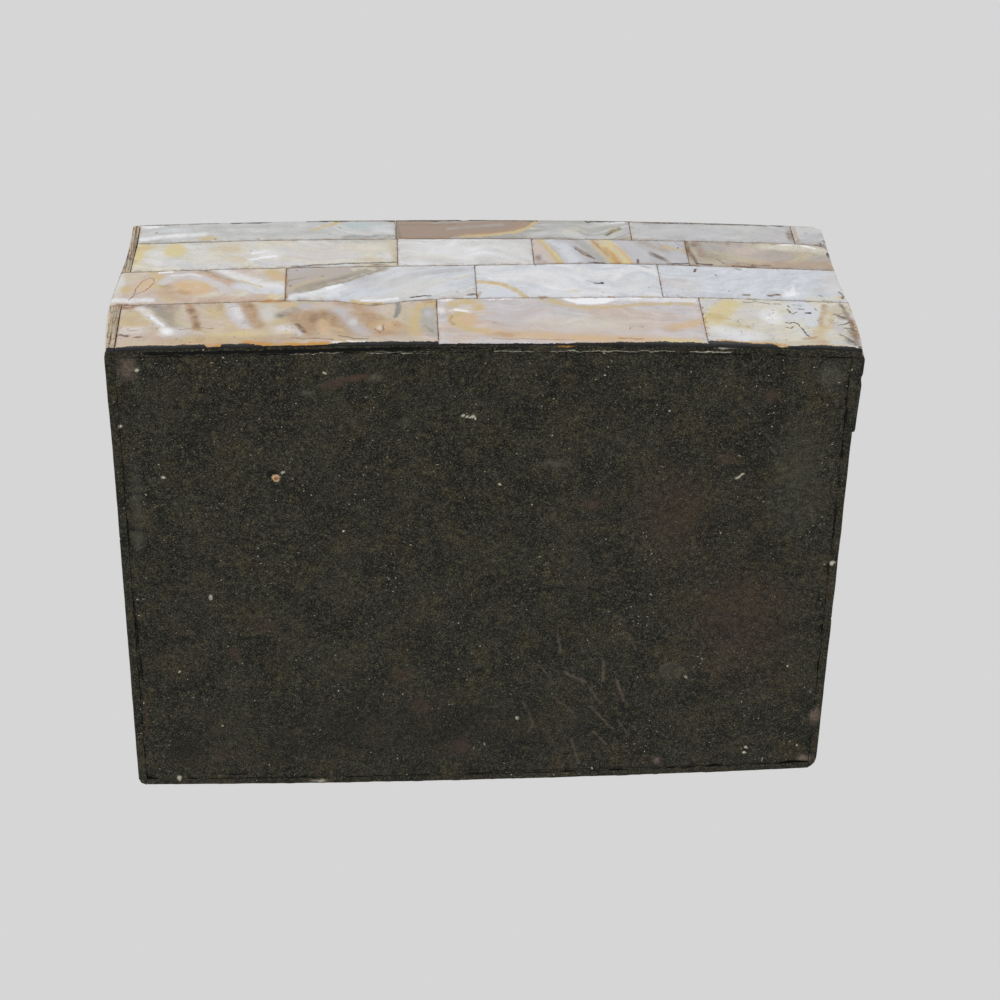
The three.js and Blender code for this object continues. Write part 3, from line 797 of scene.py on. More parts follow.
            0.15, "rust", 0.95, 0.5),
        band([(0.225, 0.74), (0.23, 0.62), (0.205, 0.48), (0.16, 0.36), (0.115, 0.25)], 0.15,
            "rust", 0.95, 0.5),
        patch(0.525, 0.95, 0.7, 0.35, "ink", 0.9, 0.5),
    ]),
    "front_row2_tile2": tile_look(("pearl", "blue white", "mist"), -24, 0.35, 0.15, 0.6, [
        patch(0.65, 0.5, 12.0, 7.0, "pearl", 0.7, 0.9),
        patch(0.42, 0.32, 8.0, 3.6, "blue white", 0.8, 0.8),
        patch(0.3, 0.4, 5.0, 1.6, "white", 0.7, 0.9, 25),
        band([(-0.24, 0.32), (0.51, 1.29)], 7.3, "dove", 1.0, 0.06),
        band([(-0.05, 0.85), (0.2, 1.05)], 2.6, "lilac", 0.5, 0.9),
        band([(0.08, 0.4), (0.3, 0.66), (0.5, 0.92)], 2.0, "drab", 0.85, 0.5),
        band([(0.12, 0.37), (0.3, 0.585), (0.5, 0.86)], 0.3, "olive", 0.7),
        band([(0.16, 0.52), (0.3, 0.7), (0.38, 0.78)], 0.3, "taupe", 0.7),
        band([(0.02, 0.43), (0.12, 0.6), (0.2, 0.68)], 0.6, "sand", 0.5),
        band([(0.0, 0.62), (0.1, 0.72)], 0.3, "taupe", 0.5),
        band([(0.36, 0.9), (0.42, 0.95), (0.46, 0.89)], 0.9, "cream", 0.7),
        patch(0.02, 0.5, 0.5, 0.3, "umber", 0.9), patch(0.185, 0.735, 0.5, 0.25, "ink", 0.9),
        patch(0.38, 0.9, 0.5, 0.3, "ink", 0.8), patch(0.05, 0.9, 0.5, 0.3, "brown", 0.7),
        band([(0.36, 1.0), (0.45, 0.98), (0.58, 1.0)], 0.6, "umber", 0.85),
        # The white band along the diagonal and the glint bands below it are painted highlights, a
        # streak of reflected light.
        band([(0.03, 0.2), (0.14, 0.31), (0.22, 0.41), (0.28, 0.49)], 1.1, "white", 1.0, 0.7),
        band([(0.22, 0.43), (0.29, 0.51)], 0.7, "glint", 1.0, 0.8),
        patch(0.07, 0.2, 2.2, 1.0, "aqua", 0.6), patch(0.12, 0.17, 1.4, 0.8, "pink", 0.6),
        band([(0.4, 0.12), (0.5, 0.1), (0.58, 0.15)], 0.6, "glint", 0.8),
        band([(0.35, 0.1), (0.42, 0.04), (0.5, 0.04)], 0.8, "sand", 0.9),
        patch(0.47, 0.03, 1.6, 0.45, "brown", 0.8),
        band([(0.65, 0.19), (0.7, 0.21), (0.76, 0.21)], 0.35, "umber", 0.9),
        patch(0.9, 0.3, 0.7, 0.4, "slate", 0.8),
        band([(0.96, 0.23), (1.0, 0.24)], 0.5, "umber", 0.8),
        patch(0.94, 0.7, 1.6, 1.4, "yellow", 0.3),
        band([(0.0, 0.1), (0.0, 0.95)], 0.35, "tan", 0.8),
    ]),
    "front_row2_tile3": tile_look(("white", "blue white", "white"), 6, 0.2, 0.1, 0.3, [
        patch(0.45, 0.62, 15.0, 5.0, "white", 0.6, 0.9),
        patch(0.33, 0.48, 6.0, 3.0, "pale lilac", 0.4, 0.9),
        patch(0.86, 0.4, 6.0, 6.6, "pearl", 0.5, 0.9),
        patch(0.11, 0.0, 6.6, 5.6, "blue white", 1.0, 0.25),
        patch(0.52, 0.2, 2.0, 0.8, "sand", 0.7, 0.8),
        band([(0.0, 0.43), (0.08, 0.42), (0.14, 0.37), (0.19, 0.25), (0.23, 0.12), (0.25, 0.0)],
            0.9, "sand", 0.95, 0.6),
        band([(0.02, 0.96), (0.3, 0.97)], 0.5, "pink", 0.7),
        patch(0.667, 0.445, 1.6, 0.75, "ink", 1.0, 0.15, -8),
        band([(0.6, 0.49), (0.64, 0.47)], 0.2, "tan", 0.8),
        patch(0.335, 0.92, 0.4, 0.35, "slate", 0.8), patch(0.675, 0.16, 0.4, 0.3, "slate", 0.9),
        patch(0.93, 0.3, 0.3, 0.3, "slate", 0.8),
        band([(0.86, 0.95), (0.94, 0.82), (0.98, 0.8)], 0.6, "white", 0.9),
        band([(0.92, 0.93), (0.96, 0.86)], 0.5, "smoke", 0.7),
        band([(0.7, 0.03), (0.8, 0.02)], 0.3, "tan", 0.8),
        band([(0.85, 0.03), (0.95, 0.06)], 0.4, "yellow", 0.7),
        patch(0.35, 0.03, 1.6, 0.5, "tan", 0.8), band([(0.0, 0.03), (0.02, 0.15)], 0.5, "tan", 0.8),
    ]),
    "front_row2_tile4": tile_look(("blue white", "blue white", "pale lilac"), -12, 0.4, 0.35, 0.6, [
        patch(0.14, 0.35, 5.6, 5.0, "pearl", 0.6, 0.9),
        patch(0.96, 0.5, 3.0, 8.0, "pearl", 0.7, 0.9),
        band([(0.205, 0.88), (0.2, 0.8)], 0.28, "umber", 0.95, 0.5),
        patch(0.21, 0.87, 0.5, 0.25, "umber", 0.9), patch(0.31, 0.69, 0.3, 0.8, "slate", 0.9),
        band([(0.44, 0.92), (0.46, 0.88)], 0.3, "olive", 0.95, 0.6),
        patch(0.355, 0.22, 0.3, 0.3, "umber", 0.9),
        band([(0.445, 0.13), (0.48, 0.12)], 0.35, "brown", 0.95),
        band([(0.585, 0.1), (0.64, 0.13)], 0.4, "brown", 0.9),
        # The three glint patches below are a painted highlight: a bright star of reflected light.
        patch(0.715, 0.28, 0.7, 2.8, "glint", 0.9, 0.9, -16),
        patch(0.7, 0.15, 2.6, 1.4, "glint", 1.0, 0.8, 30),
        patch(0.685, 0.2, 0.8, 1.6, "glint", 0.8, 0.9, 30),
        patch(0.865, 0.15, 0.9, 0.45, "slate", 0.8, 0.6, -30),
        band([(0.8, 0.04), (0.9, 0.06), (1.0, 0.12)], 0.9, "cream", 0.9, 0.8),
        patch(0.985, 0.14, 0.9, 1.6, "sand", 0.9),
        band([(0.975, 0.3), (0.99, 0.2), (0.985, 0.1)], 0.3, "umber", 0.9, 0.5),
        band([(0.0, 1.0), (0.25, 1.0)], 0.35, "umber", 0.8),
        band([(0.22, 0.985), (0.27, 1.0)], 0.5, "ink", 0.8),
        band([(0.5, 0.975), (0.7, 0.95)], 0.3, "tan", 0.8),
        patch(0.97, 0.95, 1.6, 0.8, "buff", 0.8),
    ]),
    "front_row3_tile1": tile_look(("pearl", "cream", "pearl"), 15, 0.4, 0.15, 0.6, [
        patch(0.7, 0.5, 13.0, 6.4, "pale lilac", 0.6, 0.9),
        band([(0.035, 0.9), (0.015, 0.5), (0.005, 0.28)], 2.0, "yellow", 1.0, 0.6),
        band([(0.03, 0.82), (0.07, 0.9)], 1.5, "sand", 0.6, 0.8),
        patch(0.095, 0.45, 2.4, 5.0, "white", 0.6, 0.95),
        patch(0.155, 0.72, 3.6, 4.6, "yellow", 0.95, 0.4),
        patch(0.25, 0.55, 3.6, 5.0, "pearl", 0.7, 0.9),
        patch(0.36, 0.72, 5.6, 3.6, "sand", 0.6, 0.8),
        patch(0.4, 0.35, 3.4, 2.8, "peach", 0.4, 0.9),
        patch(0.51, 0.5, 4.0, 4.4, "white", 0.7, 0.9),
        # The two glint bands below are painted highlights, streaks of reflected light.
        band([(0.455, 0.55), (0.5, 0.62)], 0.45, "glint", 0.95),
        band([(0.45, 0.32), (0.54, 0.42)], 0.45, "glint", 0.9),
        band([(0.75, 0.93), (0.9, 0.93), (0.97, 0.92)], 1.0, "smoke", 0.6, 0.8),
        patch(0.9, 0.25, 4.0, 1.4, "buff", 0.8, 0.9),
        band([(0.985, 0.9), (0.99, 0.5), (0.995, 0.1)], 0.9, "buff", 0.8, 0.95),
        band([(0.6, 0.05), (0.75, 0.1), (0.85, 0.12), (1.0, 0.15)], 0.35, "umber", 0.8),
        patch(0.93, 0.07, 2.4, 0.5, "brown", 0.7), patch(0.24, 0.77, 0.3, 0.3, "umber", 0.8),
        patch(0.45, 0.65, 0.5, 0.3, "slate", 0.8), patch(0.33, 0.07, 0.7, 0.25, "slate", 0.8),
        band([(0.0, 1.0), (0.3, 1.0)], 0.3, "slate", 0.6),
    ]),
    "front_row3_tile2": tile_look(("white", "pearl", "white"), 0, 0.2, 0.1, 0.5, [
        patch(0.35, 0.5, 12.0, 5.0, "white", 0.7, 0.9),
        patch(0.04, 0.5, 2.6, 6.0, "pale lilac", 0.5, 0.9),
        patch(0.3, 0.3, 8.0, 2.4, "cream", 0.5, 0.9),
        patch(0.86, 0.45, 5.0, 6.4, "pearl", 0.6, 0.9),
    ]),
    "front_row3_tile3": tile_look(("mist", "mist", "pale lilac"), 50, 0.3, 0.1, 0.6, [
        band([(0.0, 0.9), (0.02, 0.5), (0.03, 0.1)], 1.1, "pink", 0.9, 0.7),
        patch(0.03, 0.22, 1.1, 2.4, "brown", 0.6),
        band([(0.05, 0.8), (0.09, 0.3), (0.11, 0.0)], 1.3, "pink", 0.9, 0.7),
        band([(0.045, 1.05), (0.09, 0.62), (0.15, 0.2), (0.19, -0.05)], 1.05, "sand", 1.0, 0.5),
        band([(0.06, 0.98), (0.11, 0.55), (0.17, 0.15)], 0.4, "yellow", 0.8, 0.7),
        band([(0.13, 1.05), (0.2, 0.6), (0.26, 0.1)], 2.1, "blue white", 0.85, 0.7),
        patch(0.19, 0.92, 2.6, 1.8, "lilac", 0.8),
        band([(0.29, 1.0), (0.35, 0.7), (0.4, 0.35), (0.44, 0.0)], 1.6, "smoke", 0.95, 0.6),
        patch(0.32, 0.47, 1.1, 4.6, "taupe", 1.0, 0.5, 34),
        patch(0.32, 0.5, 0.6, 2.6, "mauve", 0.9, 0.8, 34),
        band([(0.27, 0.62), (0.3, 0.5)], 0.25, "umber", 0.8),
        band([(0.35, 0.34), (0.38, 0.23)], 0.4, "umber", 0.7, 0.8),
        band([(0.4, 1.05), (0.45, 0.6), (0.5, 0.15)], 1.6, "sand", 1.0, 0.5),
        band([(0.47, 1.0), (0.54, 0.5), (0.6, 0.02)], 1.9, "yellow", 0.95, 0.6),
        band([(0.48, 0.62), (0.52, 0.3), (0.55, 0.1)], 1.0, "amber", 0.75, 0.8),
        band([(0.39, 0.98), (0.45, 0.6), (0.48, 0.35)], 0.45, "tan", 0.9),
        band([(0.545, 0.75), (0.6, 0.35), (0.64, 0.08)], 0.5, "peach", 0.9),
        patch(0.455, 0.9, 1.3, 1.0, "pink", 0.9),
        band([(0.6, 1.05), (0.66, 0.6), (0.7, 0.0)], 1.9, "mist", 1.0, 0.5),
        band([(0.72, 0.95), (0.78, 0.78), (0.85, 0.66)], 1.9, "drab", 0.6, 0.8),
        band([(0.86, 0.74), (0.93, 0.68), (0.99, 0.6)], 0.8, "sand", 0.85, 0.7),
        patch(0.805, 0.32, 1.3, 4.0, "taupe", 0.95, 0.6, 40),
        band([(0.78, 0.42), (0.84, 0.2)], 0.4, "umber", 0.5, 0.8),
        patch(0.94, 0.35, 2.6, 2.4, "mist", 0.9),
        band([(0.667, 0.21), (0.67, 0.1)], 0.35, "umber", 0.95),
        patch(0.955, 0.72, 0.35, 0.5, "brown", 0.9),
        band([(0.35, 0.08), (0.45, 0.06)], 0.3, "umber", 0.8),
        band([(0.85, 0.06), (1.0, 0.1)], 0.3, "ink", 0.8),
    ]),
    "front_row3_tile4": tile_look(("buff", "dove", "buff"), -6, 0.6, 0.3, 0.8, [
        patch(0.17, 0.8, 4.6, 2.6, "smoke", 0.8, 0.7), patch(0.17, 0.4, 4.6, 3.4, "drab", 0.8, 0.8),
        band([(0.07, 0.95), (0.1, 0.4)], 1.1, "mauve", 0.8, 0.7),
        band([(-0.005, 1.0), (0.015, 0.55), (0.05, 0.1)], 0.6, "brown", 0.85, 0.9),
        patch(0.045, 0.85, 1.4, 1.4, "umber", 0.6, 0.9),
        patch(0.42, 0.65, 5.4, 3.0, "pink", 0.8, 0.8), patch(0.29, 0.93, 0.8, 0.5, "umber", 0.6),
        band([(0.55, 0.86), (0.7, 0.82), (0.85, 0.86), (0.95, 0.74)], 1.8, "cream", 0.95, 0.8),
        # The glint band below is a painted highlight along the top of the cream band.
        band([(0.66, 0.94), (0.8, 0.95), (0.9, 0.85)], 0.35, "glint", 1.0),
        patch(0.61, 0.93, 0.9, 0.35, "olive", 0.8),
        band([(0.3, 0.1), (0.5, 0.12), (0.7, 0.14), (0.95, 0.2)], 1.7, "tan", 0.55, 0.9),
        band([(0.42, 0.08), (0.56, 0.1)], 0.4, "brown", 0.6),
        band([(0.19, 0.32), (0.24, 0.14)], 0.28, "umber", 0.7),
        patch(0.33, 0.14, 0.8, 0.5, "brown", 0.7), patch(0.43, 0.12, 0.7, 0.5, "brown", 0.7),
        patch(0.97, 0.12, 1.6, 1.0, "tan", 0.8),
        band([(0.91, 0.98), (0.98, 0.9)], 0.35, "ink", 1.0, 0.4),
        patch(0.985, 0.62, 0.7, 1.8, "ink", 0.9, 0.3),
        band([(0.05, 0.1), (0.15, 0.06)], 0.35, "ink", 0.85),
        band([(0.3, 0.05), (0.45, 0.03)], 0.3, "umber", 0.85),
    ]),
    "lid_front_tile1": tile_look(("silver", "silver", "pearl"), 6, 0.3, 0.15, 0.5, [
        # The glint patch and glint band of this tile are painted highlights, streaks of reflected
        # light.
        patch(0.05, 0.85, 3.4, 1.3, "glint", 0.95, 0.9),
        patch(0.13, 0.6, 4.4, 1.4, "blue white", 0.7, 0.9),
        band([(0.01, 0.2), (0.08, 0.28), (0.16, 0.33), (0.25, 0.4)], 0.9, "glint", 0.7, 0.95),
        band([(0.02, 0.05), (0.12, 0.12)], 0.5, "smoke", 0.6, 0.8),
        patch(0.065, 0.47, 0.4, 0.32, "umber", 0.9), patch(0.27, 0.18, 3.2, 1.4, "sand", 0.85),
        patch(0.3, 0.12, 0.5, 0.4, "umber", 0.8),
        band([(0.4, 0.35), (0.55, 0.3), (0.65, 0.35)], 1.0, "smoke", 0.4, 0.9),
        band([(0.3, 0.7), (0.45, 0.75), (0.6, 0.72)], 0.8, "smoke", 0.4, 0.9),
        band([(0.68, 0.48), (0.73, 0.68), (0.78, 0.9)], 0.8, "sand", 0.95),
        patch(0.86, 0.7, 5.4, 2.4, "aqua", 0.85), patch(0.95, 0.55, 3.0, 2.4, "blue white", 0.6),
        band([(0.8, 0.1), (0.9, 0.12), (0.99, 0.15)], 0.8, "slate", 0.65, 0.8),
        patch(0.785, 0.6, 0.45, 0.3, "slate", 0.95), patch(0.47, 0.05, 0.6, 0.25, "brown", 0.8),
        patch(0.62, 0.02, 0.5, 0.3, "umber", 0.8),
        band([(0.0, 0.95), (0.12, 0.93), (0.3, 0.96)], 0.6, "umber", 0.95, 0.6),
        band([(0.36, 0.955), (0.5, 0.95)], 0.6, "ink", 0.95, 0.6),
        band([(0.66, 0.95), (0.7, 0.92), (0.75, 0.95)], 0.5, "ink", 0.95, 0.6),
        band([(0.76, 0.955), (1.0, 0.95)], 0.6, "umber", 0.95, 0.6),
        band([(0.0, 0.95), (0.0, 0.5)], 0.5, "tan", 0.8),
    ]),
    "lid_front_tile2": tile_look(("silver", "smoke", "cream"), -8, 0.3, 0.15, 0.5, [
        patch(0.68, 0.6, 4.6, 2.6, "mist", 0.6, 0.9), patch(0.76, 0.4, 4.4, 2.6, "cream", 0.5, 0.9),
        band([(-0.1, 0.45), (0.18, 0.5)], 6.6, "mauve", 1.0, 0.1),
        band([(0.18, 0.55), (0.38, 0.64), (0.52, 0.85)], 4.8, "mauve", 1.0, 0.12),
        band([(0.28, 0.08), (0.4, 0.16), (0.5, 0.33), (0.56, 0.55), (0.6, 0.92)], 0.75, "sand", 1.0,
            0.6),
        band([(0.25, 0.12), (0.4, 0.27), (0.5, 0.5), (0.55, 0.8)], 0.6, "tan", 0.7, 0.7),
        band([(0.15, 0.85), (0.3, 0.9), (0.42, 0.95)], 0.5, "smoke", 0.8, 0.8),
        band([(0.22, 0.5), (0.35, 0.64), (0.46, 0.75)], 0.7, "smoke", 0.6, 0.8),
        band([(0.02, 0.7), (0.12, 0.72), (0.25, 0.75)], 0.4, "taupe", 0.7, 0.8),
        band([(0.0, 0.95), (0.01, 0.1)], 0.7, "taupe", 0.8, 0.8),
        patch(0.93, 0.5, 1.8, 2.2, "buff", 0.8),
        band([(0.9, 0.25), (0.92, 0.4), (0.955, 0.55)], 0.8, "olive", 0.9),
        band([(0.9, 0.2), (0.92, 0.35)], 0.3, "umber", 0.8),
        # The glint band below is a painted highlight.
        band([(0.9, 0.9), (0.97, 0.88)], 0.6, "glint", 1.0, 0.8),
        band([(0.81, 0.97), (0.83, 0.88)], 0.3, "ink", 0.9),
        band([(0.84, 0.95), (1.0, 0.94)], 0.6, "ink", 0.95, 0.6),
        band([(0.0, 0.955), (0.3, 0.96), (0.6, 0.95)], 0.5, "umber", 0.95, 0.6),
        patch(0.985, 0.45, 0.9, 3.0, "lilac", 0.8),
    ]),
    "lid_front_tile3": tile_look(("mist", "silver", "mist"), 5, 0.4, 0.2, 0.6, [
        patch(0.12, 0.92, 5.0, 1.6, "olive", 0.35, 0.8),
        patch(0.2, 0.4, 7.0, 2.0, "silver", 0.7, 0.9), patch(0.45, 0.5, 9.0, 2.2, "mist", 0.6, 0.9),
        patch(0.84, 0.35, 8.0, 2.6, "lilac", 0.45, 0.9),
        patch(0.985, 0.4, 1.3, 3.6, "brown", 0.8, 0.8),
        band([(0.0, 0.94), (0.5, 0.93), (0.95, 0.945)], 0.6, "umber", 0.95, 0.6),
    ]),
    "lid_front_tile4": tile_look(("pearl", "mist", "pearl"), 0, 0.5, 0.3, 0.7, [
        patch(0.45, 0.5, 3.4, 3.0, "mist", 0.6, 0.9),
        band([(0.05, 0.9), (0.1, 0.1)], 0.5, "tan", 0.6, 0.8),
        patch(0.85, 0.05, 1.2, 0.5, "umber", 0.8), patch(0.95, 0.06, 1.4, 0.5, "pit", 1.0, 0.15),
        patch(0.97, 0.2, 0.8, 0.7, "umber", 0.8, 0.6), patch(0.4, 0.55, 0.5, 0.3, "slate", 0.8),
    ]),
}

# The larger chips and flecks on the underside: middle and half sizes, in mm.
CHIPS = (
    (-6.1, -52.9, 0.7, 0.5), (-5.1, -52.5, 0.6, 0.35), (-55, -35.3, 0.7, 0.5),
    (-4.3, -52.2, 0.4, 0.3), (-3.5, -52.4, 0.7, 0.45), (-2.9, -51.9, 0.35, 0.4),
    (-87.5, -34, 0.4, 0.7), (-98, -50.5, 0.5, 0.5), (-92.5, -68, 0.7, 0.5),
    (-43, -66.5, 0.6, 0.3), (-39, -15.5, 0.4, 0.4), (-76.5, 6.5, 0.5, 0.9),
    (-75, 52.5, 0.35, 0.35), (-86.5, 32.5, 0.5, 0.3), (-88.5, 72, 1.0, 0.7),
    (49.5, -53.5, 0.35, 0.5), (31, -72, 0.35, 0.3), (4, -30.5, 0.5, 0.3),
    (98.3, -2.5, 1.0, 0.8), (96, -2, 0.3, 0.3), (59, 37.5, 0.7, 0.4),
    (10.5, 51.5, 0.7, 0.5), (78.5, 64, 0.5, 0.5), (78, 66, 0.6, 0.4),
    (93.5, 63.5, 0.5, 0.3), (88.5, 34, 0.4, 0.3), (33, 71, 0.4, 0.3),
)

# Scuffs, stains, wrinkles and the seam on the underside, with a painted highlight in thin pale
# lines along its front, in mm.
UNDER_MARKS = [
    patch(-95, -68.5, 3.0, 3.6, "worn", 0.55, 0.8), patch(-47.5, -60.5, 2.4, 1.2, "haze", 0.6),
    band([(-43, -62.5), (-37, -64.5), (-32, -65.5)], 1.0, "scuff", 0.8),
    patch(-29.5, -65, 1.6, 1.4, "haze", 0.8), patch(-36, -51, 1.6, 1.2, "haze", 0.45),
    # The near-black patch at (-57.8, -34.6), to the left of the plug and in front of it, is a
    # painted shadow that the plug casts.
    patch(-22, -51, 1.8, 1.6, "haze", 0.45), patch(-57.8, -34.6, 1.8, 1.4, "pit", 0.9, 0.5),
    patch(-57, -33.5, 1.2, 1.2, "peach", 1.0, 0.4, 20),
    patch(-57, -33.3, 0.6, 0.5, "rust", 0.9, 0.6, 20), patch(-95, -28, 2.0, 12.0, "haze", 0.35),
    patch(-95.5, -13, 1.8, 3.4, "haze", 0.5), patch(-70.5, 26.5, 1.8, 2.4, "scuff", 0.6),
    patch(-61, 17, 4.4, 2.4, "scuff", 0.4), patch(-76, 64.5, 2.6, 2.0, "scuff", 0.5),
    patch(-86, 61, 5.0, 5.0, "black", 0.6), patch(-23, 35, 3.6, 2.6, "scuff", 0.5),
    patch(-18, 46.5, 3.4, 3.0, "scuff", 0.5), patch(-6, 62, 3.4, 3.4, "scuff", 0.6),
    patch(-47.5, 74, 2.4, 0.6, "dust", 0.7), patch(29.5, -23.5, 4.4, 2.6, "scuff", 0.45),
    patch(19, -37, 4.4, 1.4, "haze", 0.5), patch(66, -38, 2.6, 1.8, "scuff", 0.6),
    patch(77, -58, 3.0, 2.4, "scuff", 0.55), patch(92.5, -64.5, 3.6, 4.0, "haze", 0.5),
    band([(69, -31.5), (71, -32.8)], 0.3, "dust", 0.9), ring(54.5, 35, 2.8, 2.6, "haze", 0.45, 0.4),
    patch(54.5, 35, 2.6, 2.4, "haze", 0.35), band([(24, 35), (30, 38.6)], 0.4, "wrinkle", 0.8),
    band([(35, 31), (35, 38)], 0.4, "wrinkle", 0.7),
    band([(39, 38), (41.5, 46)], 0.4, "wrinkle", 0.8),
    band([(31.5, 41), (34.5, 46.5)], 0.35, "wrinkle", 0.6),
    band([(32, 48), (38.5, 56)], 0.4, "wrinkle", 0.8),
    band([(26.6, 60), (29, 69)], 0.35, "wrinkle", 0.7),
    band([(21.5, 21), (22.3, 27.5)], 0.4, "wrinkle", 0.6),
    patch(52, -20, 12.0, 16.0, "scuff", 0.35, 0.9), patch(74, 18, 16.0, 22.0, "scuff", 0.35, 0.9),
    patch(86, -30, 8.0, 20.0, "haze", 0.25, 0.9), patch(-20, 55, 60.0, 14.0, "black", 0.3, 0.9),
    band([(16, 32), (20, 37)], 0.35, "wrinkle", 0.6),
    band([(21, 44), (27, 50)], 0.35, "wrinkle", 0.5),
    band([(42, 22), (44, 27)], 0.35, "wrinkle", 0.6),
    band([(12, 45), (15, 53), (14, 57)], 0.4, "wrinkle", 0.5),
    band([(33, 57), (37, 62)], 0.35, "wrinkle", 0.6),
    band([(40, 53), (43, 58)], 0.35, "wrinkle", 0.5), patch(98, 52.5, 1.6, 3.2, "worn", 0.9),
    patch(96, 68.6, 2.6, 1.6, "worn", 0.85), patch(98.8, 62, 0.9, 4.0, "umber", 0.4),
    patch(52, 68.5, 1.2, 1.4, "worn", 0.7), band([(-98, -20), (-98, -15)], 0.3, "pit", 1.0, 0.4),
    band([(-98, 8), (-97.6, 22)], 0.3, "pit", 1.0, 0.4),
    band([(-97.4, 26), (-97.2, 35)], 0.35, "pit", 1.0, 0.4),
    band([(-97, 40), (-97, 56)], 0.25, "umber", 0.8, 0.5),
    band([(97.8, -53), (97.8, -49)], 0.35, "pit", 1.0, 0.4),
    band([(97.8, -42), (97.8, -38)], 0.3, "pit", 1.0, 0.4),
    band([(97.8, -21), (97.6, -11)], 0.3, "pit", 1.0, 0.4),
    band([(-74, 71), (-69, 71)], 0.3, "pit", 1.0, 0.4),
    band([(5, 71.5), (50, 71), (97, 70)], 0.3, "pit", 0.6),
    band([(-90, -73), (-60, -73.3), (-18, -73.9)], 0.5, "pit", 1.0, 0.14),
    band([(-20, -74), (8, -73.6)], 0.25, "pit", 0.8, 0.5),
    # The thin pale lines along the front seam below are a painted highlight on the front edge of
    # the board.
    band([(-52, -72.5), (-38, -72.7)], 0.14, "dust", 0.7),
    band([(-32, -72.7), (-14, -72.6)], 0.15, "dust", 0.7),
    band([(2, -72.6), (12, -72.6)], 0.12, "dust", 0.5),
    band([(17, -72.6), (50, -72.3)], 0.12, "dust", 0.6),
    band([(54, -72.2), (65, -71.8)], 0.16, "dust", 0.8),
    band([(62, -73.2), (67, -73.5)], 0.3, "dust", 0.6), patch(21, -74.2, 2.6, 0.4, "amber", 0.8),
    patch(76, -73.7, 1.2, 0.5, "amber", 0.8),
]
UNDER_MARKS += [patch(*chip, "dust", 1.0, 0.6, chip[0] * 7) for chip in CHIPS]

# The tones that the tiles out of sight of the front are drawn from.
TONE_SETS = (
    ("pearl", "cream", "mist"), ("blue white", "white", "pale lilac"), ("buff", "rose", "sand"),
    ("pink", "pale lilac", "buff"), ("cream", "buff", "pearl"), ("mist", "pearl", "aqua"),
    ("white", "cream", "pale lilac"), ("silver", "pearl", "mist"),
)
SWIRLS = ("peach", "sand", "tan", "yellow", "white", "pale lilac", "mist", "pearl", "rose", "drab")


def drawn_look(seed):
    """The look of a tile that is out of sight of the front, with a few swirls and patches."""
    draw = random.Random(seed)
    marks = []
    for _ in range(draw.randint(2, 4)):
        u, v = draw.uniform(0.05, 0.95), draw.uniform(0.05, 0.95)
        length, width = draw.uniform(4, 13), draw.uniform(2, 7)
        paint, turn = draw.choice(SWIRLS), draw.uniform(-40, 40)
        marks.append(patch(u, v, length, width, paint, draw.uniform(0.5, 0.9), 0.7, turn))
        if draw.random() < 0.35:
            edge = draw.choice(("tan", "sand", "yellow", "rose"))
            marks.append(ring(u, v, length * 1.3, width * 1.2, edge, 0.45, 0.3, turn))
    for _ in range(draw.randint(1, 3)):
        u, v = draw.uniform(0, 1), draw.uniform(0, 1)
        to = (u + draw.uniform(-0.3, 0.3), v + draw.uniform(-0.7, 0.7))
        paint = draw.choice(("white", "sand", "tan", "mist", "slate", "yellow"))
        marks.append(band([(u, v), to], draw.uniform(0.8, 2.4), paint, 0.7, 0.95))
    return tile_look(
        draw.choice(TONE_SETS), draw.uniform(-40, 40), draw.uniform(0.3, 0.8),
        draw.uniform(0.1, 0.7), draw.uniform(0.4, 0.9), marks,
    )


# Shaping

# What is lower than this, in metres, belongs to the foot of the box, and how far, in mm, its
# edge is worn up.
FOOT = 0.02 * MM
FOOT_LIFT = 0.5

# How deep into a tile its face is cut finely, in metres, how thick a tile is with its cement,
# and the part of it from the face that is worn.
FINE_SKIN = 1.4 * MM
TILE_DEPTH = 2.5 * MM
WORN_PART = 0.6

# How far a tile's face rolls and ripples, how far from its outline its edge is worn, and how
# far the edge stands out before the wear, in mm.
ROLL = 0.10
RIPPLE = 0.03
EDGE_REACH = 0.5
EDGE_LIFT = 0.26

# How far from a face its look at a neighbour starts, in mm, and how far away, in metres, the
# neighbour may be for the face to be in a joint.
SIGHT_STARTS = 0.05
JOINT_SIGHT = 3.5 * MM

# How far apart the points on a tile's outline are, and within what distance points of the CAD
# are one, in metres.
RIM_STEP = 0.25 * MM
MERGE_WITHIN = 0.001 * MM

# Faces that turn less than this, in degrees, are shaded as one.
SMOOTH_ANGLE = 35

# How far the edges at a joint grow, in mm, and how unevenly.
GROWN_PART = 0.1
GROWN_WOBBLE = 0.04

# Below this height, in metres, tiles meet without a gap: each grows by this much, in mm.
CLOSED_BELOW = 3.2 * MM
CLOSED_PART = 0.18

# The board under the box, in mm: how finely its face is cut, how hollow it is worn, how far
# from its outline and how deep its rim is worn, what counts as its edge, and how far the edge
# grows towards the tiles.
BOARD_CELLS = 1.6
BOARD_HOLLOW = 0.12
BOARD_ROLL = 0.10
BOARD_RIM = 1.2
BOARD_WEAR = 1.6
BOARD_EDGE = 0.2
SEAM_PART = 0.22

# How far inside the box the edges of the board stand, in metres.
BOARD_INSET = 5 * MM

# How much each corner is worn round, by the sides of the box it stands on, and how far from
# the corner, in metres, the wear can reach.
CORNER_WEAR = {(-1, -1): 1.0, (1, -1): 1.1, (-1, 1): 1.6, (1, 1): 2.6}
CORNER_ROOM = 8 * MM

# How the ends swell at the front, by side: the height of the middle, how far it reaches up and
# down and how far it stands out, in mm.
END_SWELLS = {-1: (24, 34, 1.4), 1: (17, 32, 1.4)}

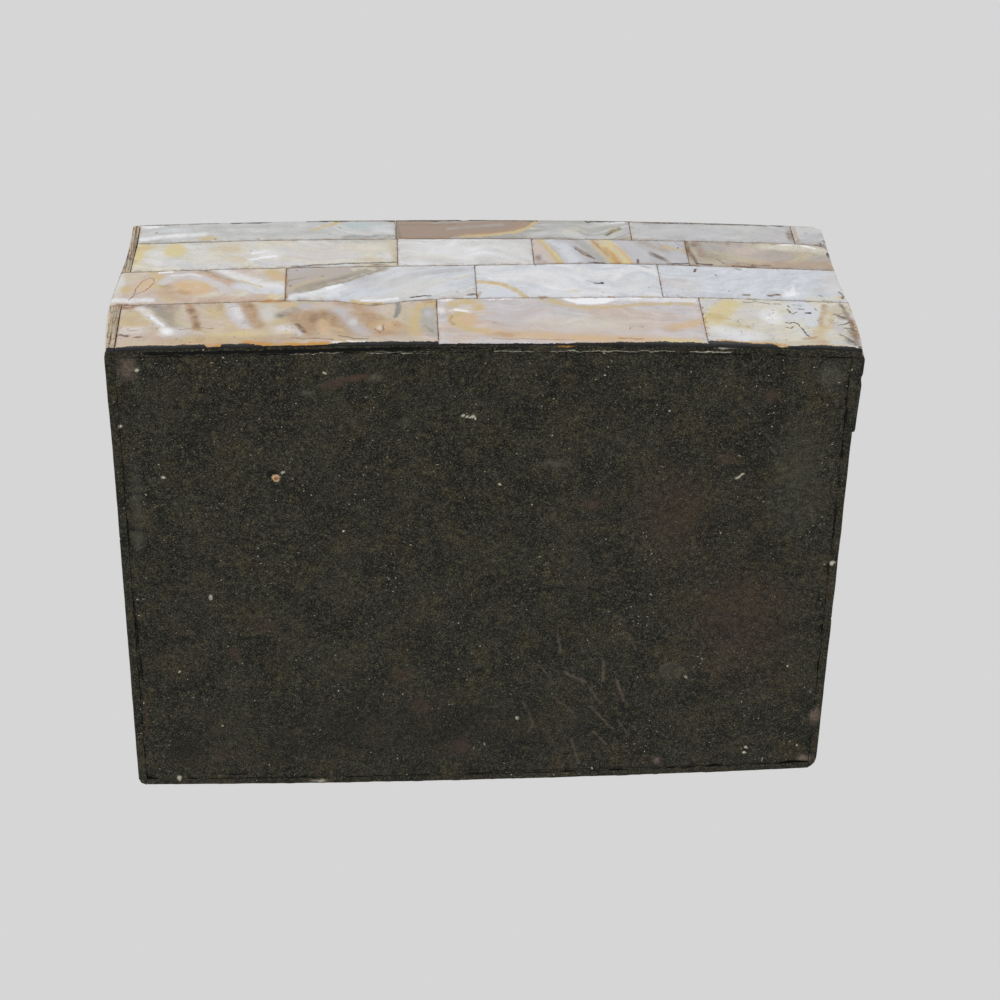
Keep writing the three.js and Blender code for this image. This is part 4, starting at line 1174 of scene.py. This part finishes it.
# Where the swell starts in front of the middle of the box and how long it takes to grow, in mm,
# and how deep into the tiles it goes, in metres.
SWELL_STARTS = 42
SWELL_LENGTH = 26
SWELL_DEPTH = 2.3 * MM


def select_only(*objects):
    """Selects these objects alone, the first of them active."""
    for other in bpy.context.selected_objects:
        other.select_set(False)
    for thing in objects:
        thing.hide_viewport = False
        thing.select_set(True)
    bpy.context.view_layer.objects.active = objects[0]


def merged_copy(node, name):
    """A copy of a CAD node with its doubles merged and its flat faces made whole."""
    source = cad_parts[node]
    piece = bpy.data.objects.new(name, source.data.copy())
    piece.data.name = name
    piece.data.materials.clear()
    bpy.context.scene.collection.objects.link(piece)
    select_only(piece)
    bpy.ops.object.mode_set(mode="EDIT")
    bpy.ops.mesh.select_mode(type="FACE")
    bpy.ops.mesh.select_all(action="SELECT")
    bpy.ops.mesh.remove_doubles(threshold=MERGE_WITHIN)
    bpy.ops.mesh.tris_convert_to_quads(face_threshold=0.7, shape_threshold=0.7)
    bpy.ops.object.mode_set(mode="OBJECT")
    return piece


def cut_finely(piece, longest, test):
    """Halves the edges whose ends pass a test until none of them is longer than longest."""
    select_only(piece)
    bpy.ops.object.mode_set(mode="EDIT")
    bpy.ops.mesh.select_mode(type="EDGE")
    while True:
        mesh = bmesh.from_edit_mesh(piece.data)
        bpy.ops.mesh.select_all(action="DESELECT")
        count = 0
        for edge in mesh.edges:
            a, b = (end.co for end in edge.verts)
            if (a - b).length > longest and test(a) and test(b):
                edge.select_set(True)
                count += 1
        if not count:
            break
        bmesh.update_edit_mesh(piece.data)
        bpy.ops.mesh.subdivide(number_cuts=1)
    bpy.ops.object.mode_set(mode="OBJECT")


def rim_points(mesh, out):
    """Points along the outline of a tile's outer face, and the tree that finds the nearest."""
    uses = {}
    for face in mesh.polygons:
        kind = "outer" if face.normal.dot(out) > 0.5 else "side"
        for key in face.edge_keys:
            uses.setdefault(key, []).append(kind)
    points = []
    for (a, b), kinds in uses.items():
        if sorted(kinds) == ["outer", "side"]:
            start, end = mesh.vertices[a].co, mesh.vertices[b].co
            steps = max(2, int((end - start).length / RIM_STEP))
            points += [start.lerp(end, k / steps) for k in range(steps + 1)]
    tree = KDTree(len(points))
    for index, point in enumerate(points):
        tree.insert(point, index)
    tree.balance()
    return tree


def write_rim(mesh, tree):
    """Keeps each vertex's distance to the outline, in mm, for the materials."""
    far = [tree.find(v.co)[2] / MM for v in mesh.vertices]
    mesh.attributes.new("rim", "FLOAT", "POINT").data.foreach_set("value", far)
    return far


def shape_tile(piece, out, rim, chips, wear):
    """Takes the arris back to an uneven edge, lets the face roll a little and breaks chips out."""
    mesh = piece.data
    far = write_rim(mesh, rim)
    outer = max(v.co.dot(out) for v in mesh.vertices)
    inner = min(v.co.dot(out) for v in mesh.vertices)
    for vertex, distance in zip(mesh.vertices, far):
        depth = outer - vertex.co.dot(out)
        place = vertex.co / MM
        if vertex.co.z < FOOT:
            vertex.co.z += max(0.0, noise.noise(place * 0.35) + 0.3) * FOOT_LIFT * MM
        if depth > WORN_PART * (outer - inner):
            continue
        roll = noise.noise(place * 0.11) * ROLL + noise.noise(place * 0.5) * RIPPLE
        edge = max(0.0, 1 - distance / EDGE_REACH)
        lift = edge * (EDGE_LIFT - wear * (0.5 + 0.5 * noise.noise(place * 0.8)))
        move = (roll + lift) * MM
        for chip_place, reach, bite in chips:
            near = 1 - (vertex.co - chip_place).length / reach
            if near > 0:
                move -= bite * min(1.0, near * 1.6) * (0.8 + 0.4 * noise.noise(place * 1.3))
        vertex.co += out * move


def tile_chips(corners, face, draw, own):
    """The chips of a tile as places, reaches and depths in metres."""
    out, along, up = FACES[face]
    low = [min(c.dot(way) for c in corners) for way in (out, along, up)]
    high = [max(c.dot(way) for c in corners) for way in (out, along, up)]
    chips = list(own)
    for _ in range(draw.randint(0, 2)):
        edge = draw.random()
        spot = draw.choice(((edge, 0), (edge, 1), (0, edge), (1, edge)))
        chips.append((*spot, draw.uniform(0.8, 1.8), draw.uniform(0.2, 0.5)))
    made = []
    for u, v, reach, bite in chips:
        place = along * (low[1] + u * (high[1] - low[1])) + up * (low[2] + v * (high[2] - low[2]))
        made.append((place + out * high[0], reach * MM, bite * MM))
    return made


# Chips that stand out on some tiles: where they are in parts of the tile, reach and depth in mm.
OWN_CHIPS = {
    "front_row3_tile4": [(1.0, 0.62, 2.4, 1.2), (1.0, 0.05, 1.6, 0.6)],
    "lid_front_tile4": [(1.0, 0.0, 2.2, 1.2), (0.9, 0.04, 1.6, 0.8), (1.0, 1.0, 2.6, 1.2)],
    "lid_front_tile3": [(0.86, 1.0, 2.0, 0.5)],
    "front_row2_tile3": [(0.655, 0.47, 1.5, 0.5)],
    "left_row3_tile3": [(1.0, 1.0, 3.0, 1.0)],
    "front_row1_tile3": [(1.0, 0.0, 2.0, 0.7)],
}


def side_of(node):
    """The side of the box that a tile is on."""
    words = node.split("_")
    return words[1] if words[0] == "lid" else words[0]


def open_faces(piece, out, all_nodes):
    """For each face, what it shows: the shell's face, its sawn edge, a joint or the underside."""
    kinds = []
    for face in piece.data.polygons:
        if face.normal.dot(out) > 0.4:
            kinds.append("shell")
            continue
        start = face.center + face.normal * SIGHT_STARTS * MM
        if all_nodes.ray_cast(start, face.normal, JOINT_SIGHT)[0] is not None:
            kinds.append("joint")
        elif face.normal.z < -0.7:
            kinds.append("under")
        else:
            kinds.append("edge")
    return kinds


def tree_of_nodes():
    """Every CAD node's faces in one tree, for finding what a face looks at."""
    places, faces = [], []
    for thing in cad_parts.values():
        start = len(places)
        places += [v.co.copy() for v in thing.data.vertices]
        faces += [[start + i for i in face.vertices] for face in thing.data.polygons]
    return BVHTree.FromPolygons(places, faces)


# What the pieces share, by name: materials and the tree of the CAD's faces.
SHARED = {}


def shared(name, make, *values):
    """Something shared, made on its first use."""
    if name not in SHARED:
        SHARED[name] = make(*values)
    return SHARED[name]


def prepare():
    """The node groups and the tree that every tile uses."""
    if not GROUPS:
        GROUPS.update(
            patch=mark_group(False), ring=mark_group(True), run=run_group(),
            figure=figure_group(), dirt=dirt_group(),
        )
    shared("nodes", tree_of_nodes)


def close_joints(piece, out, kinds):
    """Brings the edges of a tile that meet its neighbours closer to them, unevenly."""
    mesh = piece.data
    push = {}
    for face, kind in zip(mesh.polygons, kinds):
        across = face.normal - out * face.normal.dot(out)
        if kind == "joint" and across.length > 0.7:
            for index in face.vertices:
                push[index] = push.get(index, Vector()) + across
    for index, way in push.items():
        vertex = mesh.vertices[index]
        part = GROWN_PART + GROWN_WOBBLE * noise.noise(vertex.co / MM * 0.3)
        if vertex.co.z < CLOSED_BELOW:
            part = CLOSED_PART
        vertex.co += way.normalized() * part * MM


def corner_at(sides, level):
    """Where the walls that meet at an upright corner stand at a height, from the middle."""
    found = []
    for i in (0, 1):
        start = Vector([side * (end - CORNER_ROOM) for side, end in zip(sides, CAD_BOX[1])] + [0])
        start[i] = sides[i] * (CAD_BOX[1][i] + CORNER_ROOM)
        way = Vector((0, 0, 0))
        way[i] = -sides[i]
        hits = []
        for rise in (-1.0, 0.0, 1.0):
            start.z = level + rise * MM
            hits.append(SHARED["nodes"].ray_cast(start, way, 2 * CORNER_ROOM)[0])
        found.append(max([abs(hit[i]) for hit in hits if hit], default=CAD_BOX[1][i]))
    return found


def round_corners(piece, radius):
    """Wears the upright corners of the box round, the back ones more than the front ones."""
    for vertex in piece.data.vertices:
        if min(abs(vertex.co[i]) - CAD_BOX[1][i] + CORNER_ROOM for i in (0, 1)) < 0:
            continue
        sides = tuple(math.copysign(1, vertex.co[i]) for i in (0, 1))
        walls = corner_at(sides, vertex.co.z)
        worn = radius * CORNER_WEAR[sides]
        level = Vector((0, 0, vertex.co.z / MM * 0.12))
        reach = worn * (0.9 + 0.3 * noise.noise(level)) * MM
        far = [reach - walls[i] + abs(vertex.co[i]) for i in (0, 1)]
        if min(far) > 0 and math.hypot(*far) > reach:
            part = 1 - reach / math.hypot(*far)
            for i in (0, 1):
                vertex.co[i] -= math.copysign(far[i] * part, vertex.co[i])


def swell_ends(piece):
    """Lets the lower courses stand out at both ends of the front."""
    for vertex in piece.data.vertices:
        side = math.copysign(1, vertex.co.x)
        middle, reach, rise = END_SWELLS[side]
        height = abs(vertex.co.z / MM - middle) / reach
        front = (-vertex.co.y / MM - SWELL_STARTS) / SWELL_LENGTH
        inside = abs(vertex.co.x) < CAD_BOX[1].x - CORNER_ROOM
        if inside or height >= 1 or front <= 0:
            continue
        wall = corner_at((side, -1), vertex.co.z)[0]
        part = 1 - (wall - abs(vertex.co.x)) / SWELL_DEPTH
        if part > 0:
            rise *= (0.5 + 0.5 * math.cos(math.pi * height)) * min(front, 1.0) * min(part, 1.0)
            vertex.co.x += side * rise * MM


def part_of(share, count):
    """Which of count equal parts a share of the whole length falls in."""
    return min(count - 1, max(0, int(share * count)))


def part_under(place, count):
    """Which of the underside's parts from left to right a place is in."""
    return part_of((place.x - CAD_BOX[0].x) / (CAD_BOX[1].x - CAD_BOX[0].x), count)


def under_finishes():
    """The finishes of the underside from left to right."""
    if "under" not in SHARED:
        low, high = (corner.x / MM for corner in CAD_BOX)
        SHARED["under"] = [
            lacquer_material(f"worn black lacquer {index + 1}", marks)
            for index, marks in enumerate(shared_out(UNDER_MARKS, 1.0, low, high))
        ]
    return SHARED["under"]


def dress_tile(piece, node, face, look, seed, longest):
    """Cuts a tile finely, wears it, and gives each of its faces its finish."""
    out, along, up = FACES[face]
    mesh = piece.data
    rim = rim_points(mesh, out)
    outer = max(v.co.dot(out) for v in mesh.vertices)
    sag = max(outer - min(v.co.dot(out) for v in mesh.vertices) - TILE_DEPTH, 0.0)
    cut_finely(
        piece, longest * MM,
        lambda co: outer - co.dot(out) < FINE_SKIN + sag or co.z < FOOT,
    )
    kinds = open_faces(piece, out, SHARED["nodes"])
    low = [min(v.co.dot(way) for v in mesh.vertices) / MM for way in (along, up)]
    high = [max(v.co.dot(way) for v in mesh.vertices) / MM for way in (along, up)]
    span = [high[i] - low[i] for i in (0, 1)]
    draw = random.Random(seed)
    chips = tile_chips([v.co.copy() for v in mesh.vertices], face, draw, OWN_CHIPS.get(node, ()))
    centres = [f.center.copy() for f in mesh.polygons]
    settings = bpy.context.scene.shell_box_shell
    shape_tile(piece, out, rim, chips, settings.edge_wear)
    close_joints(piece, out, kinds)
    round_corners(piece, settings.corner_radius)
    swell_ends(piece)
    across = max(range(3), key=lambda i: abs(out[i]))
    parts = shared_out(look["marks"], span[0])
    finishes = [
        shell_material(f"{piece.name} {index + 1}", face, low, span, look, marks, seed)
        for index, marks in enumerate(parts)
    ]
    sawn = f"sawn shell edge {'xyz'[across]}"
    finishes += [shared(sawn, edge_material, sawn, across), shared("cement", cement_material)]
    under = under_finishes()
    for finish in finishes + under:
        mesh.materials.append(finish)
    for face_made, kind, centre in zip(mesh.polygons, kinds, centres):
        if kind == "shell":
            index = part_of((centre.dot(along) / MM - low[0]) / span[0], len(parts))
        elif kind == "under":
            index = len(finishes) + part_under(centre, len(under))
        else:
            index = len(parts) + ("edge", "joint").index(kind)
        face_made.material_index = index
        face_made.use_smooth = kind == "shell"
    select_only(piece)
    bpy.ops.object.shade_smooth_by_angle(angle=math.radians(SMOOTH_ANGLE))
    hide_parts(node)
    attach(piece, BODY)
    return piece


# How far the middle of the lid's top stands from the middle of the box, in mm.
TOP_SHIFT = -0.35

# Where the joints across each row of the lid's top stand, in mm, front row first.
TOP_JOINTS = ((-36, 31), (-64, 5, 60), (-22, 46), (-57, 13, 68), (-31, 37), (-68, -4, 52))


def split_row(node, joints):
    """The tiles of one row of the lid's top, cut from a copy of the row at its joints."""
    low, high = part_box(node)
    cuts = [low.x - MM, *[(at + TOP_SHIFT) * MM for at in joints], high.x + MM]
    tiles = []
    for index in range(len(cuts) - 1):
        piece = merged_copy(node, f"{node}_tile{index + 1}")
        bpy.ops.object.mode_set(mode="EDIT")
        gap = bpy.context.scene.shell_box_shell.joint_width / 2
        for at, is_low in ((cuts[index] + gap, True), (cuts[index + 1] - gap, False)):
            bpy.ops.mesh.select_all(action="SELECT")
            bpy.ops.mesh.bisect(
                plane_co=(at, 0, 0), plane_no=(1, 0, 0), use_fill=True,
                clear_inner=is_low, clear_outer=not is_low,
            )
        bpy.ops.object.mode_set(mode="OBJECT")
        tiles.append(piece)
    return tiles


class ShellBoxShell(bpy.types.PropertyGroup):
    """Sizes of the shell skin."""

    edge_wear: FloatProperty(
        name="Edge wear", description="How unevenly the edges of the tiles are worn, in mm",
        default=0.16, min=0.0, max=0.4,
    )
    corner_radius: FloatProperty(
        name="Corner radius", description="How far the corners of the box are worn round, in mm",
        default=1.9, min=0.0, max=3.0,
    )
    joint_width: FloatProperty(
        name="Joint width", description="Gap between neighbouring tiles on the lid's top",
        default=0.3 * MM, min=0.1 * MM, max=1.0 * MM, unit="LENGTH",
    )
    front_cells: FloatProperty(
        name="Front cells", description="Longest edge of the front tiles' faces, in mm",
        default=1.3, min=0.5, max=10.0,
    )
    other_cells: FloatProperty(
        name="Other cells", description="Longest edge of the other tiles' faces, in mm",
        default=2.2, min=0.5, max=10.0,
    )
    seed: IntProperty(
        name="Seed", description="Draws the figures of the side, back and top tiles", default=7,
    )


class ShellBoxStage(bpy.types.PropertyGroup):
    """The studio."""

    lens: FloatProperty(
        name="Lens", description="Focal length of the camera in millimetres", default=93.6,
        min=20.0, max=200.0,
    )
    camera_place: FloatVectorProperty(
        name="Camera", description="Where the camera stands, under the front of the box",
        default=(-0.0301, -0.42507, -0.5915), subtype="TRANSLATION", unit="LENGTH",
    )
    pitch: FloatProperty(
        name="Pitch", description="How far the camera leans back from looking straight up",
        default=math.radians(34.05), subtype="ANGLE",
    )
    yaw: FloatProperty(
        name="Yaw", description="How far the camera turns to the side",
        default=math.radians(-2.75), subtype="ANGLE",
    )
    roll: FloatProperty(
        name="Roll", description="How far the camera rolls about its own line of sight",
        default=math.radians(0.71), subtype="ANGLE",
    )
    floor_colour: FloatVectorProperty(
        name="Floor", description="Colour of the floor", default=(0.62, 0.62, 0.61), size=3,
        subtype="COLOR", min=0.0, max=1.0,
    )
    world_colour: FloatVectorProperty(
        name="Backdrop", description="Colour of the backdrop", default=(0.672, 0.672, 0.672),
        size=3, subtype="COLOR", min=0.0, max=1.0,
    )


class SHELLBOX_OT_front_tiles(bpy.types.Operator):
    """Dresses the tiles of the front, lid and walls"""

    bl_idname = "shellbox.front_tiles"
    bl_label = "Front Tiles"

    def execute(self, context):
        prepare()
        cells = context.scene.shell_box_shell.front_cells
        for index, (node, look) in enumerate(FRONT_LOOKS.items()):
            piece = merged_copy(node, f"shell_{node}")
            dress_tile(piece, node, "front", look, index + 1, cells)
        return {"FINISHED"}


class SHELLBOX_OT_other_tiles(bpy.types.Operator):
    """Dresses the tiles of the two ends and the back"""

    bl_idname = "shellbox.other_tiles"
    bl_label = "End and Back Tiles"

    def execute(self, context):
        prepare()
        settings = context.scene.shell_box_shell
        nodes = [
            name for name in sorted(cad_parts)
            if "_tile" in name and side_of(name) in SIDES[1:]
        ]
        for index, node in enumerate(nodes):
            piece = merged_copy(node, f"shell_{node}")
            seed = settings.seed * 100 + index
            dress_tile(piece, node, side_of(node), drawn_look(seed), seed, settings.other_cells)
        return {"FINISHED"}


class SHELLBOX_OT_top_tiles(bpy.types.Operator):
    """Makes the tiles of the lid's top, row by row"""

    bl_idname = "shellbox.top_tiles"
    bl_label = "Lid Top Tiles"

    def execute(self, context):
        prepare()
        settings = context.scene.shell_box_shell
        for row, joints in enumerate(TOP_JOINTS):
            node = f"lid_top_row{row + 1}"
            for column, piece in enumerate(split_row(node, joints)):
                seed = settings.seed * 1000 + row * 10 + column
                dress_tile(piece, node, "top", drawn_look(seed), seed, settings.other_cells)
        return {"FINISHED"}


class SHELLBOX_OT_base(bpy.types.Operator):
    """Makes the worn black board under the box"""

    bl_idname = "shellbox.base"
    bl_label = "Base Board"

    def execute(self, context):
        prepare()
        piece = merged_copy("bottom_board", "base_board")
        mesh = piece.data
        down = Vector((0, 0, -1))
        rim = rim_points(mesh, down)
        face = min(v.co.z for v in mesh.vertices) + MM
        cut_finely(piece, BOARD_CELLS * MM, lambda co: co.z < face)
        far = write_rim(mesh, rim)
        for vertex, distance in zip(mesh.vertices, far):
            if vertex.co.z > face:
                continue
            place = vertex.co / MM
            hollow = BOARD_HOLLOW + BOARD_ROLL * noise.noise(place * 0.06)
            hollow += RIPPLE * noise.noise(place * 0.5)
            worn = max(0.0, 1 - distance / BOARD_RIM)
            hollow += worn * max(0.0, noise.noise(place * 0.22)) * BOARD_WEAR
            if distance < BOARD_EDGE:
                grown = SEAM_PART * (0.8 + 0.5 * noise.noise(place * 0.15)) * MM
                for i in (0, 1):
                    if abs(vertex.co[i]) > CAD_BOX[1][i] - BOARD_INSET:
                        vertex.co[i] += math.copysign(grown, vertex.co[i])
            vertex.co.z += max(0.0, hollow) * MM
        under = under_finishes()
        mesh.materials.append(shared("cement", cement_material))
        mesh.materials.append(shared("long grain", wood_material, "wood along the box", 0))
        for finish in under:
            mesh.materials.append(finish)
        for side in mesh.polygons:
            side.use_smooth = side.normal.z < -0.5
            side.material_index = 1 if side.normal.z > 0.5 else 0
            if side.use_smooth:
                side.material_index = 2 + part_under(side.center, len(under))
        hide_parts("bottom_board")
        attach(piece, BODY)
        return {"FINISHED"}


class SHELLBOX_OT_carcase(bpy.types.Operator):
    """Gives the walls and the lid's board their wood"""

    bl_idname = "shellbox.carcase"
    bl_label = "Wooden Carcase"

    def execute(self, context):
        long_grain = shared("long grain", wood_material, "wood along the box", 0)
        short_grain = shared("short grain", wood_material, "wood across the box", 1)
        grains = {
            "front_wall": long_grain, "back_wall": long_grain, "lid_board": long_grain,
            "left_wall": short_grain, "right_wall": short_grain,
        }
        for node, grain in grains.items():
            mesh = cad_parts[node].data
            mesh.materials.clear()
            mesh.materials.append(grain)
        return {"FINISHED"}


def one_way_floor(colour):
    """Pale matt floor that isn't there when it is looked at from below."""
    material, tree, shader = new_material("pale floor")
    place = millimetres(tree)
    grain = cloud(tree, place, 0.02, 3.0)
    tone = blend(tree, (*colour, 1), (*[c * 0.96 for c in colour], 1), grain)
    tree.links.new(tone, shader.inputs["Base Color"])
    set_inputs(shader, Roughness=0.9, Specular_IOR_Level=0.1)
    behind = put(tree, "ShaderNodeNewGeometry").outputs["Backfacing"]
    clear = put(tree, "ShaderNodeBsdfTransparent").outputs[0]
    both = put(tree, "ShaderNodeMixShader", {0: behind, 1: shader.outputs[0], 2: clear})
    tree.links.new(both.outputs[0], tree.nodes["Material Output"].inputs["Surface"])
    return material


# Soft lamps: where each stands in metres, its width and height in metres, and its power in watts.
LAMPS = {
    "key lamp": ((-0.8, -1.1, 0.5), (0.9, 0.7), 4.6),
    "low fill lamp": ((-0.4, -0.9, -1.1), (1.2, 1.2), 2.0),
    "back lamp": ((-0.5, 1.2, 1.1), (1.2, 0.9), 5.0),
    "right lamp": ((1.3, -0.2, 0.8), (0.9, 0.9), 4.0),
}

# The floor's width and how far it is below the box, in metres.
FLOOR_SIZE = 6.0
FLOOR_DROP = 0.4 * MM

# The camera's sensor, in mm, and the nearest that it sees, in metres.
SENSOR_WIDTH = 36.0
NEAREST_SEEN = 0.01


class SHELLBOX_OT_stage(bpy.types.Operator):
    """Sets up the camera, the floor, the backdrop and the lamps"""

    bl_idname = "shellbox.stage"
    bl_label = "Stage"

    def execute(self, context):
        settings = context.scene.shell_box_stage
        pitch, yaw, roll = settings.pitch, settings.yaw, settings.roll
        right = Vector((1, 0, 0))
        up = Vector((0, -math.cos(pitch), math.sin(pitch)))
        ahead = Vector((0, math.sin(pitch), math.cos(pitch)))
        right, ahead = (
            right * math.cos(yaw) + ahead * math.sin(yaw),
            ahead * math.cos(yaw) - right * math.sin(yaw),
        )
        right, up = (
            right * math.cos(roll) - up * math.sin(roll),
            right * math.sin(roll) + up * math.cos(roll),
        )
        camera = bpy.data.objects.new("camera", bpy.data.cameras.new("camera"))
        context.scene.collection.objects.link(camera)
        camera.data.lens = settings.lens
        camera.data.sensor_width = SENSOR_WIDTH
        camera.data.clip_start = NEAREST_SEEN
        rows = [(right[i], up[i], -ahead[i], settings.camera_place[i]) for i in range(3)]
        camera.matrix_world = Matrix((*rows, (0, 0, 0, 1)))
        context.scene.camera = camera

        bpy.ops.mesh.primitive_plane_add(size=FLOOR_SIZE, location=(0, 0, 0))
        floor = context.object
        floor.name = "floor"
        floor.location.z = -FLOOR_DROP
        floor.data.materials.append(one_way_floor(settings.floor_colour))
        floor.visible_diffuse = floor.visible_glossy = False
        floor.visible_transmission = floor.visible_shadow = False

        world = bpy.data.worlds.new("studio")
        world.use_nodes = True
        sky = world.node_tree.nodes["Background"]
        sky.inputs["Color"].default_value = (*settings.world_colour, 1)
        context.scene.world = world
        context.scene.view_settings.view_transform = "Standard"
        for name, (place, size, power) in LAMPS.items():
            lamp = bpy.data.lights.new(name, "AREA")
            lamp.shape, lamp.size, lamp.size_y, lamp.energy = "RECTANGLE", *size, power
            thing = bpy.data.objects.new(name, lamp)
            context.scene.collection.objects.link(thing)
            thing.location = place
            thing.rotation_mode = "QUATERNION"
            thing.rotation_quaternion = (-Vector(place)).to_track_quat("-Z", "Y")
        return {"FINISHED"}


STEPS = (
    SHELLBOX_OT_stage,
    SHELLBOX_OT_front_tiles,
    SHELLBOX_OT_other_tiles,
    SHELLBOX_OT_top_tiles,
    SHELLBOX_OT_base,
    SHELLBOX_OT_carcase,
)


class SHELLBOX_PT_sidebar(bpy.types.Panel):
    """Lists the sizes and the steps that make the box"""

    bl_idname = "SHELLBOX_PT_sidebar"
    bl_label = "Shell Box"
    bl_space_type = "VIEW_3D"
    bl_region_type = "UI"
    bl_category = "Shell Box"

    def draw(self, context):
        for settings in (context.scene.shell_box_shell, context.scene.shell_box_stage):
            for name in settings.__annotations__:
                self.layout.prop(settings, name)
        for operator in STEPS:
            self.layout.operator(operator.bl_idname)


CLASSES = (ShellBoxShell, ShellBoxStage, *STEPS, SHELLBOX_PT_sidebar)


def register():
    for made in CLASSES:
        bpy.utils.register_class(made)
    bpy.types.Scene.shell_box_shell = PointerProperty(type=ShellBoxShell)
    bpy.types.Scene.shell_box_stage = PointerProperty(type=ShellBoxStage)


def unregister():
    del bpy.types.Scene.shell_box_stage
    del bpy.types.Scene.shell_box_shell
    for made in reversed(CLASSES):
        bpy.utils.unregister_class(made)


def main():
    register()
    bpy.ops.shellbox.stage()
    bpy.ops.shellbox.front_tiles()
    bpy.ops.shellbox.other_tiles()
    bpy.ops.shellbox.top_tiles()
    bpy.ops.shellbox.base()
    bpy.ops.shellbox.carcase()
    bpy.context.view_layer.update()


if __name__ == "__main__":
    main()
